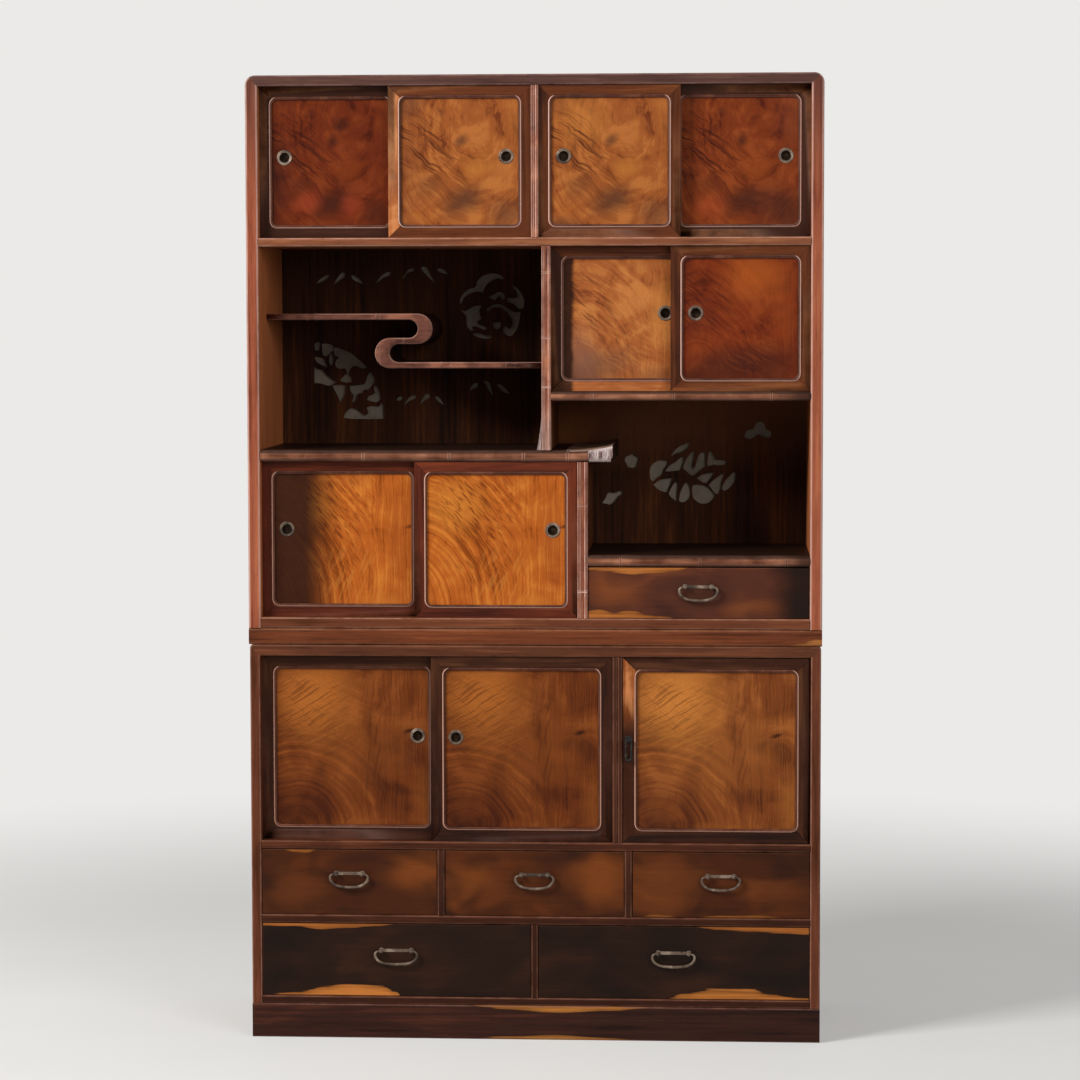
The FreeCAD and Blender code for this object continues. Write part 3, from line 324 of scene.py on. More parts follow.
def plankTones(tree, place, base, wide):
    # planks side by side: each has its own tone, with a fine dark joint between
    across = maths(tree, "MULTIPLY_ADD", axis(tree, place, 0), 1 / (wide * mm), 0.5)
    own = addNode(tree, "ShaderNodeTexWhiteNoise", {"W": maths(tree, "FLOOR", across)}, noise_dimensions="1D")
    own = ranged(tree, own.outputs["Value"], 0.0, 1.0, 0.84, 1.06)
    joint = maths(tree, "ABSOLUTE", maths(tree, "SUBTRACT", maths(tree, "FRACT", across), 0.5))
    joint = ranged(tree, joint, 0.5 - 1.4 / wide, 0.5 - 0.5 / wide, 1.0, 0.35)
    return blended(tree, 1.0, base, maths(tree, "MULTIPLY", own, joint), "MULTIPLY")


def paleRims(tree, place, normal, base, tone, look):
    # front edges of the sides, pale along both arrises: partly rubbed, partly painted highlight
    aside = maths(tree, "ABSOLUTE", axis(tree, place, 0))
    near = [ranged(tree, aside, a * mm, b * mm, 0.0, strength) for a, b, strength in look["rims"]]
    near = maths(tree, "MULTIPLY", maths(tree, "MAXIMUM", *near),
                 ranged(tree, axis(tree, normal, 1), -0.5, -0.8))
    near = maths(tree, "MULTIPLY", near, ranged(tree, tone, 0.36, 0.56, 0.35, 1.0))
    return blended(tree, near, base, colour(look["wornAndHighlight"]))


def paintedShadeBehindEdge(tree, place, normal, base, look):
    # painted shade: the board behind the front edge and the lips above and below the rounded edge are darkened
    # where shade falls; only the front edge keeps the wood's colour
    front, shade, overLip, underLip = look
    behind = ranged(tree, axis(tree, place, 1), front * mm, (front + 5) * mm)
    up = axis(tree, normal, 2)
    lips = maths(tree, "MAXIMUM", ranged(tree, up, 0.12, 0.45, 0.0, overLip),
                 ranged(tree, up, -0.1, -0.7, 0.0, underLip))
    return blended(tree, maths(tree, "MAXIMUM", behind, lips), base, colour(shade))


def woodMaterial(name, look, grain="z", sides=False):
    material, tree, shader, coords = newMaterial(name)
    real, normal = coords.outputs["Object"], coords.outputs["Normal"]
    place = real
    if sides:    # frames whose side boards run front to back: their faces to left and right get that grain
        facing = maths(tree, "GREATER_THAN", axis(tree, vectors(tree, "ABSOLUTE", normal), 0), 0.8)
        swapped = mapped(tree, real, Rotation=(0, 0, math.pi / 2))
        place = addNode(tree, "ShaderNodeMix", {"Factor": facing, "A": real, "B": swapped},
                        data_type="VECTOR")

    def stretched(along, across, shift):
        # one noise unit is this many mm along and across the grain
        size = [1 / (across * mm)] * 3
        size["xyz".index(grain)] = 1 / (along * mm)
        return mapped(tree, place, Location=(shift + look["seed"], 3.1 * shift, look["seed"]), Scale=size)

    tone = noise(tree, stretched(look.get("toneLong", 380), look.get("tone", 75), 1), 1.0,
                 look.get("detail", 3.0), 0.55, 0.7)
    streak = noise(tree, stretched(240, look.get("streak", 8), 5), 1.0, 5.0, 0.6, 0.35)
    # real pores are 0.2 mm wide; drawn at 1.4 mm so that the render can hold them
    pore = noise(tree, stretched(34, 1.4, 9), 1.0, 2.0)
    lines, spread = look["lines"], look.get("spread", 0.14)
    shade = maths(tree, "MULTIPLY_ADD", tone, 1 - lines, maths(tree, "MULTIPLY", streak, lines))
    base = ramp(tree, shade,
                [(0.5 - spread, look["dark"]), (0.5, look["mid"]), (0.5 + spread, look["light"])])
    for x, z, wide, tall, strength, glow in look.get("patches", ()):
        warp = vectors(tree, "SUBTRACT", tone.outputs["Color"], (0.5, 0.5, 0.5))
        bent = vectors(tree, "ADD", place, scaled(tree, warp, wide * mm))
        base = softSpot(tree, bent, base, (x * mm, z * mm), (wide * mm, tall * mm), 0, strength, glow)
    for sap in look.get("sap", ()):
        base = sapStreak(tree, place, base, sap, streak)
    if "turning" in look:    # the wood turns to another colour from one height to another
        before, after, other = look["turning"]
        rise = ranged(tree, axis(tree, place, 2), before * mm, after * mm, 0.0, look.get("turned", 0.75))
        base = blended(tree, rise, base, colour(other))
    if "plank" in look:
        base = plankTones(tree, place, base, look["plank"])
    if "inner" in look:    # painted light: the faces that look into the case are made warmer and lighter, where the lamp falls into the niches
        facing = maths(tree, "MULTIPLY", axis(tree, normal, 0), maths(tree, "SIGN", axis(tree, real, 0)))
        base = blended(tree, ranged(tree, facing, -0.8, -0.95, 0.0, 0.6), base, colour(look["inner"]))
    dots = ranged(tree, pore, 0.56, 0.70, 1.0, 1 - look.get("pores", 0.35))
    base = wornArrisAndHighlight(tree, real, normal, blended(tree, 1.0, base, dots, "MULTIPLY"), look)
    # painted shadow down one side, cast by a case side or a post
    if "paintedShadowSide" in look:
        base = paintedShadowSide(tree, real, base, look["paintedShadowSide"])
    if "rims" in look:
        base = paleRims(tree, real, normal, base, tone, look)
    # painted shade behind the front edge and on its lips
    if "paintedShadeBehind" in look:
        base = paintedShadeBehindEdge(tree, real, normal, base, look["paintedShadeBehind"])
    finishWood(tree, shader, base, streak, pore, look)
    return material


def panelMaterial(name, look, box, tint=None):
    # book-matched figured panels: growth rings about a heart, rippled across, with smoky stains and knots;
    # some panels also carry painted shade down one side
    low, high = box
    width, height = high.x - low.x, high.z - low.z
    material, tree, shader, coords = newMaterial(name)
    middle = ((low.x + high.x) / 2, 0, (low.z + high.z) / 2)
    place = mapped(tree, coords.outputs["Object"], Location=[-part for part in middle])
    warp = noise(tree, place, 1 / (look["warpSize"] * mm), 3.0)
    warp = vectors(tree, "SUBTRACT", warp.outputs["Color"], (0.5, 0.5, 0.5))
    warp = scaled(tree, warp, look["warp"] * mm)
    bent = vectors(tree, "ADD", place, warp)

    def share(u, v):
        return ((u - 0.5) * width, (v - 0.5) * height)

    # rings: one-dimensional noise along the distance from the heart
    u, v = share(*look["heart"])
    heart = vectors(tree, "MULTIPLY", vectors(tree, "SUBTRACT", bent, (u, 0, v)), (1, 0, look["lift"]))
    radius = vectors(tree, "LENGTH", heart).outputs["Value"]
    turns = maths(tree, "MULTIPLY", radius, 1 / (look["ring"] * mm))
    rings = addNode(tree, "ShaderNodeTexNoise", {"W": turns, "Scale": 1.0, "Detail": 3.0, "Roughness": 0.62},
                    noise_dimensions="1D")
    cloud = noise(tree, bent, 1 / (look["cloud"] * mm), 4.0, 0.55, 0.8)
    # straight grain, faded in towards one side
    straight = mapped(tree, bent, Scale=(1 / (look["grain"] * mm), 1, 1 / (130 * mm)))
    start, end = look["straight"]
    side = ranged(tree, axis(tree, place, 0), start * width, end * width)
    fine = noise(tree, straight, 1.0, 3.0, 0.6)
    line = addNode(tree, "ShaderNodeMix", {"Factor": side, "A": rings, "B": fine}, data_type="FLOAT")
    line = maths(tree, "MULTIPLY", line, look["lines"])
    base = ramp(tree, maths(tree, "MULTIPLY_ADD", cloud, 1 - look["lines"], line), look["stops"])
    for u, v, wide, tall, turn, strength, spot in look["spots"]:
        base = softSpot(tree, bent, base, share(u, v), (wide * width, tall * height), turn, strength, spot)
    # ripple: dark feathered stripes across the growth, held to their own corner of the panel
    for u, v, wide, tall, turn, across, along, strength, sign in look["feathers"]:
        lay = mapped(tree, bent, Rotation=(0, math.radians(turn), 0))
        lay = vectors(tree, "MULTIPLY", lay, (1 / (along * mm), 0, 1 / (across * mm)))
        ripple = ranged(tree, noise(tree, lay, 1.0, 2.0, 0.45, 0.2), 0.5, 0.64, 0.0, 1.0, "SMOOTHSTEP")
        near = nearPoint(tree, bent, share(u, v), (wide * width, tall * height), 0.35, strength)
        stripe = colour(look["stripe"] if sign < 0 else look["gleam"])
        base = blended(tree, maths(tree, "MULTIPLY", ripple, near), base, stripe)
    if tint:
        base = blended(tree, tint[1], base, colour(tint[0]), "MULTIPLY")
    # painted shadow down one side of the panel, cast by a case side or the tall post
    if "paintedShadowSide" in look:
        wavy = vectors(tree, "ADD", coords.outputs["Object"], warp)
        base = paintedShadowSide(tree, wavy, base, look["paintedShadowSide"])
    # real pores are 0.2 mm wide; drawn at 1.2 mm so that the render can hold them
    pore = noise(tree, mapped(tree, bent, Scale=(1 / (1.2 * mm), 1 / (1.2 * mm), 1 / (18 * mm))), 1.0, 2.0)
    base = blended(tree, 1.0, base, ranged(tree, pore, 0.56, 0.72, 1.0, 0.82), "MULTIPLY")
    finishWood(tree, shader, base, cloud, pore, look)
    return material


def metalMaterial(name, look):
    material, tree, shader, coords = newMaterial(name)
    place = coords.outputs["Object"]
    patina = noise(tree, place, 1 / (look["patch"] * mm), 5.0, 0.65)
    pits = noise(tree, place, 1 / (0.9 * mm), 3.0, 0.6)
    fill(tree, shader, {
        "Base Color": ramp(tree, patina, [(0.38, look["dark"]), (0.52, look["mid"]), (0.66, look["light"])]),
        "Roughness": ranged(tree, patina, 0.35, 0.65, *look["rough"]),
        "Normal": addNode(tree, "ShaderNodeBump", {"Strength": 0.2, "Distance": 0.1 * mm, "Height": pits}),
        "Metallic": look["metal"], "Specular IOR Level": look["gloss"]})
    return material


def clothMaterial(name):
    # grey silk behind the openwork, faded and dusty: threads 0.3 mm apart, drawn at 1.5 mm to show
    material, tree, shader, coords = newMaterial(name)
    place = coords.outputs["Object"]
    weave = [noise(tree, mapped(tree, place, Scale=size), 1.0, 1.0)
             for size in ((1 / (1.5 * mm), 1, 1 / (20 * mm)), (1 / (20 * mm), 1, 1 / (1.5 * mm)))]
    cross = maths(tree, "MAXIMUM", *weave)
    shade = maths(tree, "MULTIPLY_ADD", cross, 0.4, noise(tree, place, 1 / (60 * mm), 3.0))
    fill(tree, shader, {
        "Base Color": ramp(tree, shade, [(0.5, "#6a6052"), (0.8, "#85796a")]), "Roughness": 0.85,
        "Normal": addNode(tree, "ShaderNodeBump", {"Strength": 0.3, "Distance": 0.2 * mm, "Height": cross}),
        "Sheen Weight": 0.15})
    return material


# Chinese quince, planed, stained and oiled: a dull red-brown with pinkish arrises, partly rubbed and partly
# painted highlight
caseLook = {"dark": "#6c3220", "mid": "#955037", "light": "#ae6546", "lines": 0.5, "wearAndHighlight": 0.75,
            "wornAndHighlight": "#cfa597", "seed": 2, "turning": (1560, 1775, "#4a2e29"),
            # inner: painted light on the faces that look into the case
            "inner": "#bd7140", "rims": ((525.5, 528.0, 0.9), (511.5, 508.5, 0.7))}
lidLook = {"dark": "#3a221d", "mid": "#50352e", "light": "#67463c", "lines": 0.5, "wearAndHighlight": 0.75,
           "wornAndHighlight": "#94706a", "seed": 3}
# the lower case's sides: the same quince made darker, as painted shade where the light falls off towards the
# floor
lowCasePaintedShadeLook = {"dark": "#44220f", "mid": "#613321", "light": "#7c462e", "lines": 0.5, "wearAndHighlight": 0.7,
               "wornAndHighlight": "#a0725f", "seed": 4, "rims": ((526.5, 528.5, 0.45), (512.5, 510.5, 0.5))}
# the lower top board is made darker: painted shadow of the moulding that overhangs it
lowLidPaintedShadowLook = {"dark": "#3d1f14", "mid": "#57301f", "light": "#724129", "lines": 0.5, "wearAndHighlight": 0.5,
              "wornAndHighlight": "#8b5d48", "seed": 6}
boardLook = {"dark": "#5c3220", "mid": "#7e4a31", "light": "#98603f", "lines": 0.5, "wearAndHighlight": 0.8,
             "wornAndHighlight": "#b98b76", "seed": 5}
sillLook = dict(boardLook, dark="#47230f", mid="#663723", light="#7f4a2e", wornAndHighlight="#a5765f")
lowBoardLook = {"dark": "#2c150c", "mid": "#452214", "light": "#63341f", "lines": 0.5, "wearAndHighlight": 0.55,
                "wornAndHighlight": "#8a5c48", "seed": 7, "turning": (330, 200, "#2e150b")}
dividerLook = dict(lowBoardLook, dark="#27120a", mid="#3f2014", light="#5a3220", seed=8)
mouldLook = {"dark": "#4a2412", "mid": "#6a361f", "light": "#804526", "lines": 0.55, "wearAndHighlight": 0.5,
             "wornAndHighlight": "#a06c4e", "seed": 9, "streak": 6,
             "sap": [(739, 1, 462, 540, 12, [(0.0, 0.0), (0.4, 0.45), (0.75, 1.0), (1.0, 0.9)], "#a86a38")]}
plinthLook = {"dark": "#20100c", "mid": "#341b14", "light": "#4a271b", "lines": 0.5, "wearAndHighlight": 0.7,
              "wornAndHighlight": "#7d5548", "seed": 13,
              "sap": [(64, -1, -130, 225, 15, [(0.0, 0.0), (0.2, 0.45), (0.5, 0.9), (0.75, 0.5), (1.0, 0.0)],
                       "#a5682f"),
                      (0, 1, -135, 215, 13, [(0.0, 0.0), (0.25, 0.5), (0.5, 0.85), (0.8, 0.4), (1.0, 0.0)],
                       "#a0662e")]}
# the same wood where the doors slide past it: darker, hardly rubbed
frameLook = {"dark": "#200f09", "mid": "#371b10", "light": "#52301c", "lines": 0.45, "wearAndHighlight": 0.35,
             "wornAndHighlight": "#6b4032", "seed": 17, "tone": 60}
redFrameLook = {"dark": "#33140c", "mid": "#552416", "light": "#73341d", "lines": 0.45, "wearAndHighlight": 0.4,
                "wornAndHighlight": "#8c5038", "seed": 21, "tone": 60}
rowFrameLook = {"dark": "#3a1b0e", "mid": "#5d2f18", "light": "#7e4522", "lines": 0.45, "wearAndHighlight": 0.4,
                "wornAndHighlight": "#96603f", "seed": 25, "tone": 60}
# darker frames for the rear row doors and the first right door's left stile: partly darker wood, partly
# painted shade where the front doors, the top board and the tall post shade them
darkWoodAndShadeFrameLook = dict(rowFrameLook, dark="#2a150d", mid="#361b10", light="#43251a", seed=27)
brightStileLook = {"dark": "#6f351b", "mid": "#a95f31", "light": "#cd8450", "lines": 0.4, "wearAndHighlight": 0.4,
                   "wornAndHighlight": "#c99a72", "seed": 29, "toneLong": 90}
# a half-round bead, brown along top and bottom and lightly rubbed on its arrises; the pale lines down the
# sides and the fainter ones along the bottom are painted highlights
beadLook = {"dark": "#33180f", "mid": "#4a2519", "light": "#643a29", "lines": 0.3, "wearAndHighlight": 0.12,
            "wornAndHighlight": "#dcae9c", "seed": 33, "pores": 0.15, "gloss": 0.1, "rough": (0.32, 0.45)}
# shaved like split bamboo: brown between two crowns left pale, partly rubbed and partly painted highlight
postLook = {"dark": "#50291e", "mid": "#824a36", "light": "#ad6e50", "lines": 0.4, "wearAndHighlight": 1.0,
            "wornAndHighlight": "#d0aa9b", "seed": 37, "toneLong": 70, "tone": 40, "streak": 4}
shelfLook = {"dark": "#5b3322", "mid": "#80503a", "light": "#a66f54", "lines": 0.4, "wearAndHighlight": 0.5,
             # painted shade behind the front edge and on its upper and lower lips
             "wornAndHighlight": "#bd917f", "seed": 41, "toneLong": 60, "paintedShadeBehind": (-178, "#22130d", 0.85, 0.7),
             # painted shadow over the right ends, where the right side board shades them
             "paintedShadowSide": (440, 500, 0.75, "#1e100b")}
ribbonLook = {"dark": "#43251d", "mid": "#694034", "light": "#925d48", "lines": 0.35, "wearAndHighlight": 0.75,
              # painted shade behind the front edge and under its lower lip
              "wornAndHighlight": "#ab8272", "seed": 43, "toneLong": 60, "paintedShadeBehind": (-78, "#24120c", 0.0, 0.6)}
rootLook = {"dark": "#3a2520", "mid": "#7e6661", "light": "#c0adaa", "lines": 0.85, "wearAndHighlight": 0.7,
            "wornAndHighlight": "#d3c2be", "seed": 45, "toneLong": 30, "tone": 9, "streak": 2.0}
# the top of the root end is made paler than its wood: painted light where the lamp falls on it
rootTopPaintedLightLook = {"dark": "#553a2c", "mid": "#80604e", "light": "#a8856e", "lines": 0.5, "wearAndHighlight": 0.6,
               "wornAndHighlight": "#b39a90", "seed": 47, "toneLong": 40, "tone": 20}
openworkLook = {"dark": "#21110a", "mid": "#3b2013", "light": "#573019", "lines": 0.5, "wearAndHighlight": 0.1,
                "wornAndHighlight": "#4a3020", "seed": 57, "tone": 50, "rough": (0.6, 0.75), "gloss": 0.05, "coat": 0.0}
# the right board turns paler towards the top and has a warm patch low on its left: painted light where the
# lamp reaches into the right niche
rightOpenworkPaintedLightLook = dict(openworkLook, turning=(1040, 1170, "#7a4a31"),
                         patches=[(50, 1130, 70, 60, 0.8, "#8a4a22")])
innerLook = {"dark": "#3c1f11", "mid": "#552e19", "light": "#714024", "lines": 0.5, "wearAndHighlight": 0.3,
             "wornAndHighlight": "#8c5f42", "seed": 61}
# cedar planks behind, sawn and left bare
backLook = {"dark": "#8c6646", "mid": "#a87e57", "light": "#bf966b", "lines": 0.6, "wearAndHighlight": 0.2, "plank": 172,
            "wornAndHighlight": "#c8ab82", "seed": 65, "rough": (0.62, 0.78), "coat": 0.0, "streak": 5}
# paulownia, sawn and left bare: pale, dry and soft
boxLook = {"dark": "#b3946a", "mid": "#c7aa80", "light": "#d6bd95", "lines": 0.6, "wearAndHighlight": 0.2,
           "wornAndHighlight": "#dcc7a4", "seed": 69, "rough": (0.66, 0.82), "coat": 0.0, "streak": 5}
nodeWoods = {
    "upper_top_board": woodMaterial("quinceLid", lidLook, "x"),
    "upper_side_boards": woodMaterial("quinceSides", caseLook, "z"),
    "upper_sill_board": woodMaterial("quinceSill", sillLook, "x"),
    "upper_base_moulding": woodMaterial("quinceMoulding", mouldLook, "x", True),
    "top_row_shelf": woodMaterial("quinceShelf", boardLook, "x"),
    "openwork_back_left": woodMaterial("smokedCedarLeft", openworkLook, "z"),
    "openwork_back_right": woodMaterial("smokedCedarRight", rightOpenworkPaintedLightLook, "z"),
    "staggered_shelf": woodMaterial("quinceRibbon", ribbonLook, "x"),
    "bamboo_edge_shelves": woodMaterial("quinceJointedShelf", shelfLook, "x"),
    "cupboard_partitions": woodMaterial("quincePartition", innerLook, "z"),
    "back_boards": woodMaterial("cedarBackPlanks", backLook, "z"),
    "lower_top_board": woodMaterial("quinceLowLid", lowLidPaintedShadowLook, "x"),
    "lower_side_boards": woodMaterial("quinceLowSides", lowCasePaintedShadeLook, "z"),
    "lower_rails_and_boards": woodMaterial("quinceRails", lowBoardLook, "x"),
    "lower_dividers": woodMaterial("quinceDividers", dividerLook, "z"),
    "plinth": woodMaterial("quincePlinth", plinthLook, "x", True),
}
boxWood = woodMaterial("paulowniaBox", boxLook, "y")
postWood = woodMaterial("shavedPost", postLook, "z")
rootWood = woodMaterial("carvedRoot", rootLook, "z")
rootTopWood = woodMaterial("rootTop", rootTopPaintedLightLook, "x")
footWood = woodMaterial("shavedPostWithRootFoot", dict(postLook, turning=(1190, 1100, "#a98679")), "z")
brightStile = woodMaterial("goldenStile", brightStileLook, "z")
fadingLook = dict(brightStileLook, mid="#8e4a22", turning=(650, 575, "#2f150b"), turned=0.95)
fadingStile = woodMaterial("goldenToDarkStile", fadingLook, "z")
# the golden rail carries a painted shadow at its left end, cast by the tall post
brightRail = woodMaterial("goldenRail", dict(brightStileLook, paintedShadowSide=(76, 66, 0.9, "#2a150d")), "x")
darkWoodAndShadeStile = woodMaterial("darkWoodAndShadeRowStile", darkWoodAndShadeFrameLook, "z")
darkWoodAndShadeRail = woodMaterial("darkWoodAndShadeRowRail", darkWoodAndShadeFrameLook, "x")
# cast bronze, chemically browned: dull, rubbed paler where it is held
bronze = metalMaterial("brownedBronze", {"dark": "#3a2e25", "mid": "#645244", "light": "#8d7b6b", "patch": 24,
                                         "metal": 0.3, "gloss": 0.35, "rough": (0.55, 0.42)})
# the same bronze, much darker and duller inside the cups
cupBronze = metalMaterial("brownedCup", {"dark": "#120b06", "mid": "#21160d", "light": "#37291a", "patch": 10,
                                         "metal": 0.1, "gloss": 0.05, "rough": (0.7, 0.6)})
# forged iron, oil blackened
iron = metalMaterial("blackenedIron", {"dark": "#14110f", "mid": "#262220", "light": "#4a4038", "patch": 9,
                                       "metal": 0.4, "gloss": 0.3, "rough": (0.6, 0.45)})
nodeWoods["openwork_linings"] = clothMaterial("greySilkLining")
for nodeName, material in nodeWoods.items():
    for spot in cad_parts[nodeName].material_slots:
        spot.material = material
print("boards and linings finished:", len(nodeWoods))

# the figure cut through each set of doors; shares are across and up the panel, angles in degrees
baseFigure = {"heart": (0.19, 0.08), "lift": 1.1, "ring": 11, "warp": 17, "warpSize": 60, "cloud": 110,
              "straight": (-0.04, 0.2), "lines": 0.31, "stripe": "#5a2c12", "gleam": "#b57532", "grain": 2.2,
              "stops": [(0.37, "#4c220f"), (0.49, "#753c18"), (0.61, "#985626")],
              "spots": [(0.5, 0.52, 0.5, 0.34, 0, 0.45, "#a8622c"),
                        (0.28, 0.78, 0.36, 0.34, 0, 0.78, "#d2823a"),
                        (0.60, 0.62, 0.06, 0.5, 5, 0.35, "#5c2c13"),
                        (0.19, 0.07, 0.12, 0.13, 0, 0.75, "#3f1d0f"),
                        (0.20, 0.25, 0.36, 0.2, 0, 0.4, "#5f2f16"),
                        (0.9, 0.22, 0.10, 0.26, 0, 0.45, "#a5622a"),
                        (0.82, 0.58, 0.05, 0.016, 12, 0.95, "#341809"),
                        (0.55, 0.05, 0.3, 0.08, 0, 0.4, "#9c5a26"),
                        (0.03, 0.97, 0.16, 0.22, 0, 0.75, "#4c2512")],
              "feathers": [(0.22, 0.76, 0.32, 0.28, -38, 3.0, 60, 0.2, -1),
                           (0.24, 0.70, 0.34, 0.26, 30, 3.4, 60, 0.5, -1),
                           (0.34, 0.62, 0.3, 0.22, 24, 5, 60, 0.35, 1),
                           (0.62, 0.55, 0.1, 0.5, 80, 6, 60, 0.5, -1)]}
rowFigure = {"heart": (0.62, 0.72), "lift": 0.7, "ring": 12, "warp": 26, "warpSize": 52, "cloud": 48,
             "straight": (0.1, 0.5), "lines": 0.34, "stripe": "#50240f", "gleam": "#b16c33", "grain": 3.5,
             "stops": [(0.35, "#642d14"), (0.48, "#934f23"), (0.61, "#ad6630")],
             "spots": [(0.52, 0.24, 0.24, 0.14, 25, 0.8, "#4f2e1e"),
                       (0.83, 0.16, 0.2, 0.14, 0, 0.6, "#5c3625"),
                       (0.30, 0.34, 0.14, 0.1, 30, 0.45, "#5d351e"),
                       (0.05, 0.04, 0.22, 0.14, 0, 0.6, "#5a2f22"),
                       (0.53, 0.63, 0.07, 0.07, 0, 0.75, "#4f2d1e"),
                       (0.37, 0.80, 0.06, 0.05, 0, 0.5, "#6a3b22"),
                       (0.62, 0.45, 0.18, 0.1, 20, 0.55, "#b8702f"),
                       (0.2, 0.14, 0.16, 0.1, 0, 0.5, "#ab5f28"), (0.9, 0.8, 0.12, 0.25, 0, 0.4, "#b26c30"),
                       (0.12, 0.9, 0.2, 0.12, 0, 0.45, "#683a20")],
             "feathers": [(0.17, 0.60, 0.34, 0.28, -36, 4.0, 90, 0.9, -1),
                          (0.38, 0.44, 0.28, 0.26, -40, 4.2, 50, 0.5, -1),
                          (0.85, 0.2, 0.22, 0.2, 50, 6, 40, 0.4, -1),
                          (0.4, 0.85, 0.4, 0.2, -70, 6, 50, 0.3, 1)]}
rightFigure = {"heart": (0.2, 0.1), "lift": 0.7, "ring": 12, "warp": 22, "warpSize": 60, "cloud": 58,
               "straight": (0.05, 0.3), "lines": 0.36, "stripe": "#66321a", "gleam": "#c98345", "grain": 4,
               "stops": [(0.35, "#743a1c"), (0.48, "#a1592b"), (0.61, "#bb733a")],
               "spots": [(0.35, 0.18, 0.40, 0.18, 12, 0.7, "#6b4532"),
                         (0.16, 0.10, 0.16, 0.12, 0, 0.6, "#4f3023"),
                         (0.7, 0.9, 0.3, 0.14, 0, 0.4, "#8d4c22"), (0.80, 0.55, 0.14, 0.3, 0, 0.5, "#c8803c"),
                         (0.75, 0.10, 0.24, 0.12, 0, 0.5, "#6f432b"),
                         (0.05, 0.8, 0.2, 0.3, 0, 0.45, "#84502e")],
               "feathers": [(0.22, 0.6, 0.32, 0.34, -40, 4.2, 60, 0.7, -1),
                            (0.55, 0.4, 0.3, 0.4, -35, 5, 40, 0.3, 1)]}
lowFigure = {"heart": (-0.06, 0.10), "lift": 0.9, "ring": 10, "warp": 13, "warpSize": 60, "cloud": 80,
             "straight": (0.02, 0.26), "lines": 0.5, "stripe": "#74340d", "gleam": "#cf8439", "grain": 4,
             "stops": [(0.36, "#86400f"), (0.49, "#b0591d"), (0.62, "#c8742b")],
             "spots": [(0.03, 0.02, 0.16, 0.14, 0, 0.9, "#4c220c"),
                       (0.26, 0.70, 0.30, 0.26, 0, 0.5, "#cf8433"),
                       (0.84, 0.45, 0.10, 0.5, 0, 0.45, "#96481a"),
                       (0.92, 0.57, 0.06, 0.018, 12, 0.85, "#5c2b0e"),
                       (0.12, 0.96, 0.3, 0.1, 0, 0.6, "#8a4419"), (0.55, 0.92, 0.3, 0.12, 0, 0.5, "#96471b"),
                       (0.75, 0.08, 0.2, 0.1, 0, 0.4, "#cb7c30")],
             "feathers": [(0.40, 0.70, 0.36, 0.34, -48, 3.2, 26, 0.85, -1),
                          (0.42, 0.40, 0.28, 0.32, -56, 3.2, 28, 0.7, -1),
                          (0.2, 0.92, 0.25, 0.14, -30, 4, 40, 0.6, -1),
                          (0.55, 0.25, 0.3, 0.3, 70, 6, 50, 0.3, 1)]}

